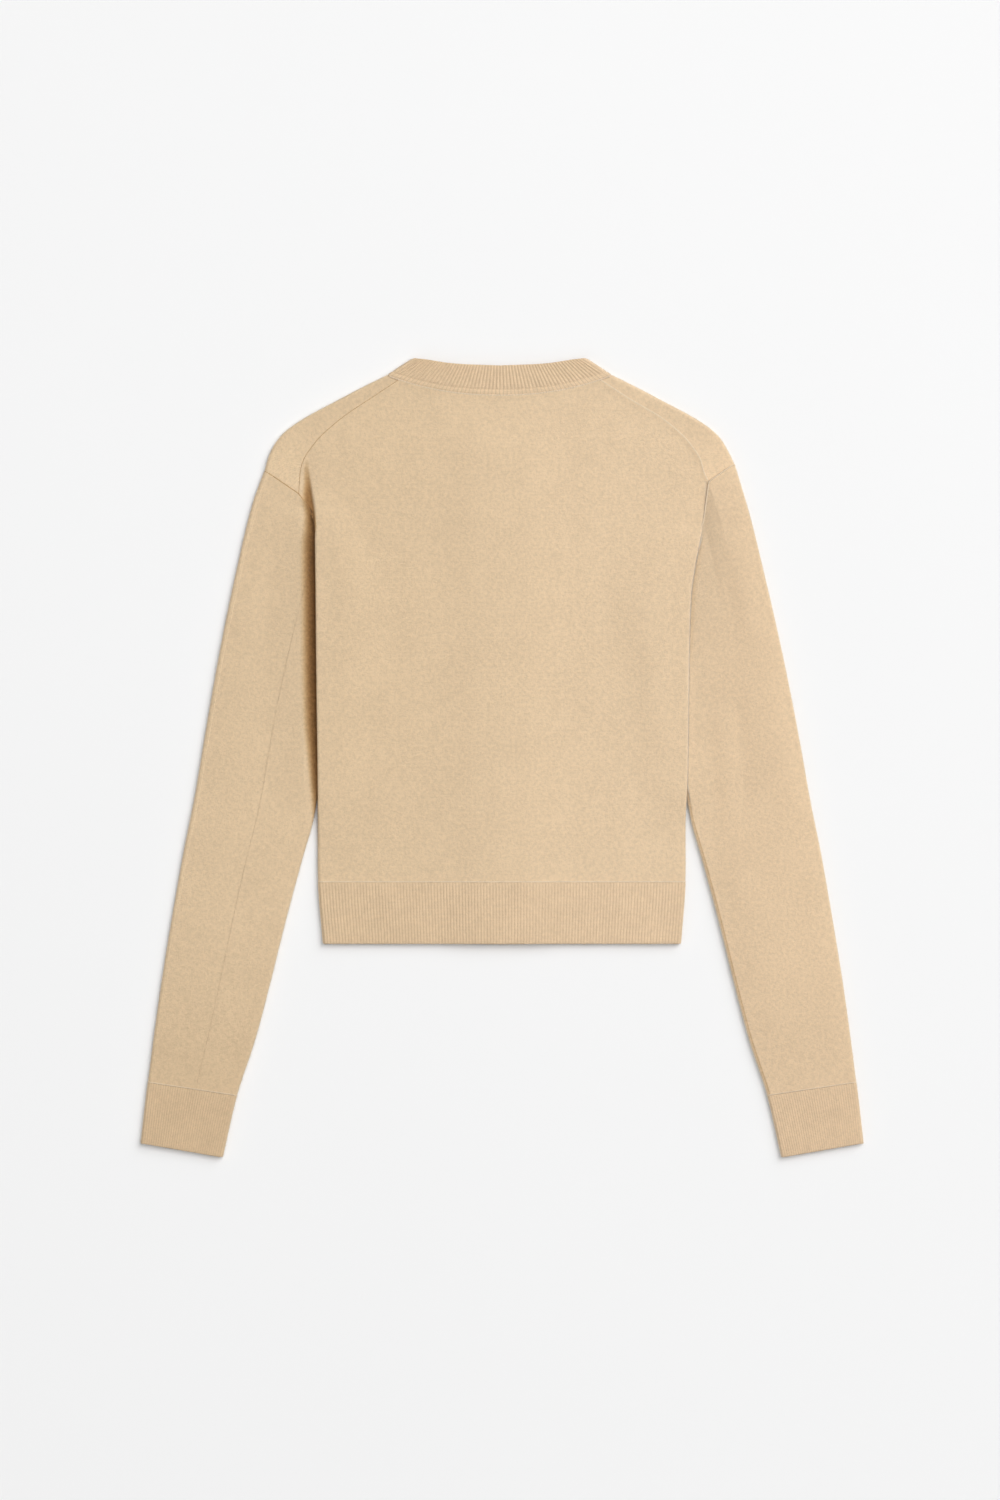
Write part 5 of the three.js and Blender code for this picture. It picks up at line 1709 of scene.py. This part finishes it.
@dataclass
class HemBack(Piece):
    """The back's hem rib: ribs side by side from one side fold over the back to the other."""

    ribs: int = 120
    ridge: float = 0.35
    ridge_width: float = 0.6

    def cloth(self) -> Cloth:
        """Rows up the rib; each is divided evenly along the cloth."""
        y = hem_heights(LAY.hem_top_y)[:, None]
        edges = [LAY.turned_length(side, y) - LAY.seam_gap / 2 for side in (LEFT, RIGHT)]
        tangents = [LAY.side_section(side, y, np.zeros_like(y))[..., 0] for side in (LEFT, RIGHT)]
        flat = tangents[1] - tangents[0]
        phase = rib_phase(self.ribs)
        along = phase / self.ribs * (edges[0] + flat + edges[1]) - edges[0]
        on_left = LAY.side_section(LEFT, y, np.maximum(-along, 0))[..., :3]
        on_right = LAY.side_section(RIGHT, y, np.maximum(along - flat, 0))[..., :3]
        x = tangents[0] + along
        middle = stacked(x, y, LAY.back_top(x, y))
        grid = np.where((along < 0)[..., None], on_left, middle)
        grid = np.where((along > flat)[..., None], on_right, grid)
        settle(grid)
        relief = LAY.rib_rise * rib_crown(phase) * transition(y)
        ridge = self.ridge * np.exp(-(((y - LAY.hem_top_y + self.ridge_width / 2) / self.ridge_width) ** 2))
        uv = stacked(phase * LAY.rib_pitch, y)
        return Cloth(grid, uv, LAY.rib_wall, relief=relief + ridge, edges=RIB_EDGES)


@dataclass
class HemFront(Piece):
    """A front's hem rib, under the back's one; its ribs stand down and its grooves go up."""

    side: SideLay = LEFT
    ribs: int = 56
    middle_y: float = -135.0

    def cloth(self) -> Cloth:
        """Rows up the rib from the side seam in to the band."""
        y = hem_heights(LAY.hem_top_y - 0.25)
        fine = np.linspace(0, CLOSE_KNOTS + EVEN_KNOTS, 561)
        middle, _ = LAY.front_row(self.side, np.array([self.middle_y]), fine)
        length = running_length(middle[0])
        phase = rib_phase(self.ribs)
        t = np.interp(phase / self.ribs * length[-1], length, fine)
        grid, _ = LAY.front_row(self.side, y, t)
        relief = LAY.rib_rise * (rib_crown(phase) - 1) * transition(y[:, None])
        uv = stacked(phase * LAY.rib_pitch, y[:, None])
        return Cloth(grid, uv, LAY.rib_wall, relief=relief, edges=RIB_EDGES).facing(self.side.sign)


# ------------------------------------------------------------------ neckband


@dataclass
class Neckband(Piece):
    """The neckband: ribs round the neck, ending in a plain roll where the band is linked to the body."""

    back_ribs: int = 56
    front_ribs: int = 48
    fold_ribs: int = 3
    depth: float = 22.0
    rib_rise: float = 0.75
    roll: float = 4.0
    roll_rise: float = 0.45
    from_seam: float = 0.55
    free_top: tuple[float, float] = (71.0, 351.9)
    free_bottom: tuple[float, float] = (80.9, 345.4)
    free_front_depth: float = 82.4
    free_edge: Rows = ((0, 345.8), (40, 347.6), (65, 351.2), (71, 351.9))

    def attached_fold(self, side: SideLay) -> Array:
        """Where the attached edge turns over the shoulder."""
        x, y = side.neck_outward
        off = side.sign * np.array([-y, x]) * self.from_seam
        return np.array([LAY.shoulder_lean + side.sign * LAY.neck_half, LAY.neck_y]) + off

    def free_at(self, side: SideLay, end: tuple[float, float]) -> Array:
        """An end of the free edge's turn over the shoulder, from its half width and height."""
        return np.array([LAY.shoulder_lean + side.sign * end[0], end[1]])

    def front(self, side: SideLay, v: Array) -> Array:
        """The front part, from the band, first, up to the shoulder fold."""
        f = rib_phase(self.front_ribs)[:-1] / self.front_ribs
        angle = LAY.lowest_neck * (1 - f)
        attached = LAY.front_neck(side, angle)
        attached = attached + stacked(-side.sign * np.cos(angle), np.sin(angle)) * self.from_seam
        free_x, free_y = self.free_at(side, self.free_bottom)
        free = stacked(free_x * np.cos(angle), free_y - self.free_front_depth * np.sin(angle))
        plan = mix(attached, free, v[:, None, None])
        beyond = np.maximum(np.abs(plan[..., 0]), LAY.band_half + LAY.seam_gap) * side.sign
        plan[..., 0] = np.where(f < 0.08, beyond, plan[..., 0])
        return raised(plan, LAY.band_lift(side, plan[..., 0], plan[..., 1]))

    def turn(self, side: SideLay, v: Array) -> Array:
        """The fold over the shoulder, from below to the top; the free edge crosses it on a slant."""
        top, bottom = (self.free_at(side, end) for end in (self.free_top, self.free_bottom))
        centre = mix(self.attached_fold(side), top, v[:, None])
        outward = np.broadcast_to(side.neck_outward, centre.shape)
        f = rib_phase(self.fold_ribs) / self.fold_ribs
        arc = FlatTube.arc(centre, outward, np.full(len(v), LAY.fold), f)
        arc[..., :2] += (bottom - top) * v[:, None, None] * f[:, None]
        return arc[:, ::-1]

    def back(self, v: Array) -> Array:
        """The back part, from the left fold to the right one."""
        f = rib_phase(self.back_ribs)[1:-1] / self.back_ribs
        attached_x, free_x = (
            mix(*(at(side)[0] for side in (LEFT, RIGHT)), f)
            for at in (self.attached_fold, lambda side: self.free_at(side, self.free_top))
        )
        attached = stacked(attached_x, LAY.back_neck_y(attached_x) + LAY.seam_gap)
        free = stacked(free_x, read_table(self.free_edge, np.abs(free_x - LAY.shoulder_lean)))
        return raised(mix(attached, free, v[:, None, None]), 2 * LAY.fold)

    def cloth(self) -> Cloth:
        """Rows from the attached edge to the free one, columns from the left band round to the right."""
        across = evenly(0, self.depth, 1.6)
        across = np.unique(np.concatenate([across, np.linspace(0.9, 5.4, 9)]))
        v = across / self.depth
        on_left, on_right = (
            np.concatenate([self.front(side, v), self.turn(side, v)], 1) for side in (LEFT, RIGHT)
        )
        grid = np.concatenate([on_left, self.back(v), on_right[:, ::-1]], 1)
        phase = np.arange(grid.shape[1]) / LAY.per_rib
        settle(grid)
        on_back = smoothstep(grid[..., 2], 2.0, 5.0)
        ribbed = smoothstep(across, self.roll + 0.2, self.roll + 1.0)[:, None]
        ribs = rib_crown(phase) - (1 - on_back)
        section = np.clip(across / (self.roll - 0.4), 0, 1)
        roll = (self.roll_rise * np.sin(np.pi * section) ** 0.7)[:, None] * on_back
        relief = self.rib_rise * ribs * ribbed + roll * (1 - ribbed)
        uv = stacked(phase * LAY.rib_pitch, across[:, None])
        edges = (Edge.SEWN, Edge.FREE, Edge.SEWN, Edge.SEWN)
        return Cloth(grid, uv, LAY.rib_wall, relief=relief, edges=edges)


# ------------------------------------------------------------------ bands and buttons


@dataclass
class Band(Piece):
    """A front band in rib, under the garment's middle, lifted over each button."""

    raised_by: float = 0.0
    ribs: int = 10

    def cloth(self) -> Cloth:
        """Rows up the band; its ribs stand down and its grooves go up."""
        y = evenly(LAY.hem_bottom_y, LAY.band_top_y, 4.0)[:, None]
        phase = rib_phase(self.ribs)
        edge = np.array([0.1, 0.3, 0.6]) / LAY.per_rib
        phase = np.concatenate([phase[:1], edge, phase[1:-1], self.ribs - edge[::-1], phase[-1:]])
        x = LAY.band_half * (1 - 2 * phase / self.ribs)
        grid = stacked(x, y, self.raised_by + LAY.button_lift(y))
        relief = LAY.rib_rise * (rib_crown(phase) - 1)
        uv = stacked(phase * LAY.rib_pitch, y)
        return Cloth(grid, uv, LAY.rib_wall, relief=relief, edges=(Edge.FREE,) * 4)


@dataclass
class Button:
    """A four-hole button, its dished face down, sewn on with a cross of thread."""

    number: int
    y: float
    hole_offset: float = 1.25
    hole_radius: float = 0.7
    hole_depth: float = 1.1
    dish: float = 0.5
    thread_radius: float = 0.3
    turns: int = 72

    def profile(self) -> tuple[Array, Array, int]:
        """The section: out along the dished face, round the edge, back on top.

        Returns:
            Radii, heights and how many of them are on the face.
        """
        over_holes = np.arange(0.85, 2.75, 0.13)
        face = np.concatenate([[0, 0.35, 0.7], over_holes, [3.3, 3.9, 4.3, 4.7, 5.0, 5.3, 5.6]])
        dish = self.dish * falling(face, 4.3, 5.5)
        rim = np.array([[6.0, 0.0], [6.5, 0.05], [7.0, 0.17], [7.32, 0.38], [7.46, 0.62], [7.5, 0.9]])
        rim_top = np.array([[7.46, 1.3], [7.3, 1.66], [7.0, 1.88], [6.6, 1.98], [5.0, 2.0], [0.0, 2.0]])
        radius = np.concatenate([face, rim[:, 0], rim_top[:, 0]])
        return radius, np.concatenate([dish, rim[:, 1], rim_top[:, 1]]), len(face)

    def build(self, resin: bpy.types.Material, thread: bpy.types.Material) -> None:
        """Make the button and its thread."""
        radius, height, on_face = self.profile()
        turn = np.arange(self.turns) * 2 * np.pi / self.turns
        x, y = radius[:, None] * np.cos(turn), radius[:, None] * np.sin(turn)
        holes = np.hypot(np.abs(x) - self.hole_offset, np.abs(y) - self.hole_offset)
        pit = self.hole_depth * falling(holes, self.hole_radius - 0.15, self.hole_radius + 0.12)
        pit[on_face:] = 0
        heights = height[:, None] + pit
        body = turned_mesh(f"button_{self.number}_body", radius, heights, np.array([0.0, self.y]))
        for made, material, slot in ((body, resin, "button"), (self.thread_mesh(), thread, "rib")):
            made.data.materials.append(material)
            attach(made, "root")
        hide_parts(f"button_{self.number}")
        LOG.info("%s: %d faces", body.name, len(body.data.polygons))

    def thread_mesh(self) -> bpy.types.Object:
        """Two bars of thread that cross between the holes: tubes on arcs that dip into them."""
        points, quads = [], []
        s = np.linspace(-1, 1, 15)
        ring = np.arange(8) * np.pi / 4
        reach = self.hole_offset * math.sqrt(2)
        for k, turn in enumerate((math.pi / 4, -math.pi / 4)):
            centre = stacked(s * reach * math.cos(turn), s * reach * math.sin(turn) + self.y)
            height = 0.34 + 0.08 * k + 0.9 * smoothstep(np.abs(s), 0.72, 1.0)
            side = np.array([-math.sin(turn), math.cos(turn)])
            radius = (self.thread_radius - 0.05 * smoothstep(np.abs(s), 0.8, 1.0))[:, None]
            plan = centre[:, None] + side * (radius * np.cos(ring))[..., None]
            tube = raised(plan, height[:, None] + radius * np.sin(ring)).reshape(-1, 3)
            index = point_numbers(len(s), len(ring), True) + k * len(tube)
            quads.append(around(index[:-1, :-1], index[:-1, 1:], index[1:, 1:], index[1:, :-1]))
            quads += [index[0][OCTAGON][:, ::-1], index[-1][OCTAGON]]
            points.append(tube)
        quads = np.concatenate(quads)[:, ::-1]
        return make_mesh(f"button_{self.number}_thread", np.concatenate(points), quads)


# ------------------------------------------------------------------ studio


@dataclass(frozen=True)
class Panel:
    """A round light panel toward the garment's upper right, or its lower left for a lean below 0.

    Attributes:
        name: Name of the light.
        lean: Angle between its direction and straight up, in degrees.
        power: Watts.
        size: Diameter in metres.
        distance: Distance from the garment in metres.
    """

    name: str
    lean: float
    power: float
    size: float
    distance: float = 12.0

    def place(self) -> None:
        """Add the light, turned to face the garment."""
        data = bpy.data.lights.new(self.name, "AREA")
        data.shape, data.size, data.energy = "DISK", self.size, self.power
        lamp = bpy.data.objects.new(self.name, data)
        lean = math.radians(self.lean)
        out = math.sin(lean) * self.distance / math.sqrt(2)
        lamp.location = (out, out, math.cos(lean) * self.distance)
        lamp.rotation_euler = (lean, 0, math.radians(135))
        bpy.context.scene.collection.objects.link(lamp)


@dataclass(frozen=True)
class Studio:
    """A pale floor, wide soft light from above and the upper right, and a camera straight above."""

    floor_half: float = 4.0
    camera_height: float = 3.667
    camera_place: tuple[float, float] = (-0.0018, 0.0066)
    lens: float = 100.0
    sensor: float = 36.0
    panels: tuple[Panel, ...] = (
        Panel("overhead", 15.0, 900.0, 13.8),
        Panel("key", 48.0, 850.0, 11.0),
        Panel("fill", -58.0, 190.0, 8.0),
    )
    world: float = 0.17

    def floor(self) -> bpy.types.Object:
        """A square floor at z = 0."""
        h = self.floor_half
        corners = np.array([[-h, -h], [h, -h], [h, h], [-h, h]]) / MM + np.array([0, LAY.centre_y])
        points = np.concatenate([corners, np.full((4, 1), -0.05)], 1)
        made = make_mesh("floor", points, np.array([[0, 1, 2, 3]]))
        made.data.materials.append(FloorFinish().material())
        return made

    def lights(self) -> None:
        """The light panels and a faint even glow."""
        for panel in self.panels:
            panel.place()
        world = bpy.data.worlds.new("glow")
        world.use_nodes = True
        background = world.node_tree.nodes["Background"]
        background.inputs["Color"].default_value = WHITE
        background.inputs["Strength"].default_value = self.world
        bpy.context.scene.world = world

    def camera(self) -> None:
        """The camera looks straight down, with +Y up in its view."""
        data = bpy.data.cameras.new("camera")
        data.lens, data.sensor_fit = self.lens, "VERTICAL"
        data.sensor_width = data.sensor_height = self.sensor
        made = bpy.data.objects.new("camera", data)
        made.location = (*self.camera_place, self.camera_height)
        bpy.context.scene.collection.objects.link(made)
        bpy.context.scene.camera = made
        bpy.context.scene.view_settings.view_transform = "Standard"


# ------------------------------------------------------------------ assembly


SLEEVE_CREASES = {
    "left": (Crease((-222, 120), (-262, -160), 20, 0.9), Crease((-200, 190), (-212, 90), 10, -0.6)),
    "right": (
        Crease((196, 200), (206, 92), 10, -1.5), Crease((206, 60), (215, -54), 9, -1.3),
        Crease((182, 40), (190, -60), 8, -0.8), Crease((236, 60), (252, -60), 12, 0.8),
    ),
}
RIGHT_VALLEY = Valley(((60, 2.4), (100, 2.0), (150, 0.6), (185, 0.0)), floor=4.6, start=-0.4, end=0.4)
FLOOR = ("floor",)
FRONTS = ("front_left", "front_right")


@dataclass(frozen=True)
class Cardigan:
    """All the pieces and their finishes."""

    knit: KnitFinish = KnitFinish()
    rib: RibFinish = RibFinish()
    # the neckband's rib grooves get stronger painted shade
    neck_rib: RibFinish = RibFinish("neck_rib", groove=(0.75, 1.0))
    resin: ButtonFinish = ButtonFinish()
    thread: ThreadFinish = ThreadFinish()

    def bands(self) -> list[Piece]:
        """The two front bands, the button band on the other."""
        cut = ("rib", (0.026, 0.426), 0.011)
        lower = Band("buttonhole_band", *cut, FLOOR)
        return [lower, Band("button_band", *cut, (lower.name,), raised_by=LAY.rib_wall + LAY.layer_gap)]

    def sleeve(self, side: SideLay) -> Sleeve:
        """A sleeve; the right one rises straight from the body's edge and stands fuller outside."""
        sleeve = Sleeve(
            f"sleeve_{side.name}", "knit", (0.36, 0.55), 0.14, FLOOR, (0, -1),
            side=side, creases=SLEEVE_CREASES[side.name],
        )
        return replace(sleeve, valley=RIGHT_VALLEY, outer_swell=1.5) if side is RIGHT else sleeve

    def knits(self) -> list[Piece]:
        """The plain knitted panels."""
        panels: list[Piece] = []
        for side in (LEFT, RIGHT):
            panels += [
                Front(f"front_{side.name}", "knit", (0.2, 0.53), 0.078, FLOOR, side=side), self.sleeve(side)
            ]
        under = (*FRONTS, "sleeve_left", "sleeve_right")
        return [*panels, Back("back", "knit", (0.39, 0.45), 0.155, under, (0, -1))]

    def ribs(self) -> list[Piece]:
        """The ribbed pieces but for the neckband."""
        strips = self.bands()
        for side in (LEFT, RIGHT):
            name = side.name
            strips += [
                HemFront(f"hem_rib_front_{name}", "rib", (0.15, 0.055), 0.0080, FLOOR, side=side),
                Cuff(f"cuff_{name}", "rib", (0.151, 0.056), 0.0082, FLOOR, side=side),
            ]
        return [*strips, HemBack("hem_rib_back", "rib", (0.33, 0.055), 0.0178, FRONTS)]

    def build(self) -> None:
        """Make every piece in its finish."""
        resin, thread = self.resin.material(), self.thread.material()
        for number, y in enumerate(LAY.button_ys, 1):
            Button(number, float(y)).build(resin, thread)
        neckband = Neckband("neckband", "rib", (0.5, 0.024), 0.0112, FRONTS, (0,))
        for finish, pieces in (
            (self.knit, self.knits()), (self.rib, self.ribs()), (self.neck_rib, [neckband])
        ):
            material = finish.material()
            for piece in pieces:
                piece.build(material)


def main() -> None:
    """Build the studio and the cardigan."""
    logging.basicConfig(level=logging.INFO, format="%(name)s: %(message)s")
    studio = Studio()
    studio.floor()
    studio.lights()
    studio.camera()
    Cardigan().build()


if __name__ == "__main__":
    main()
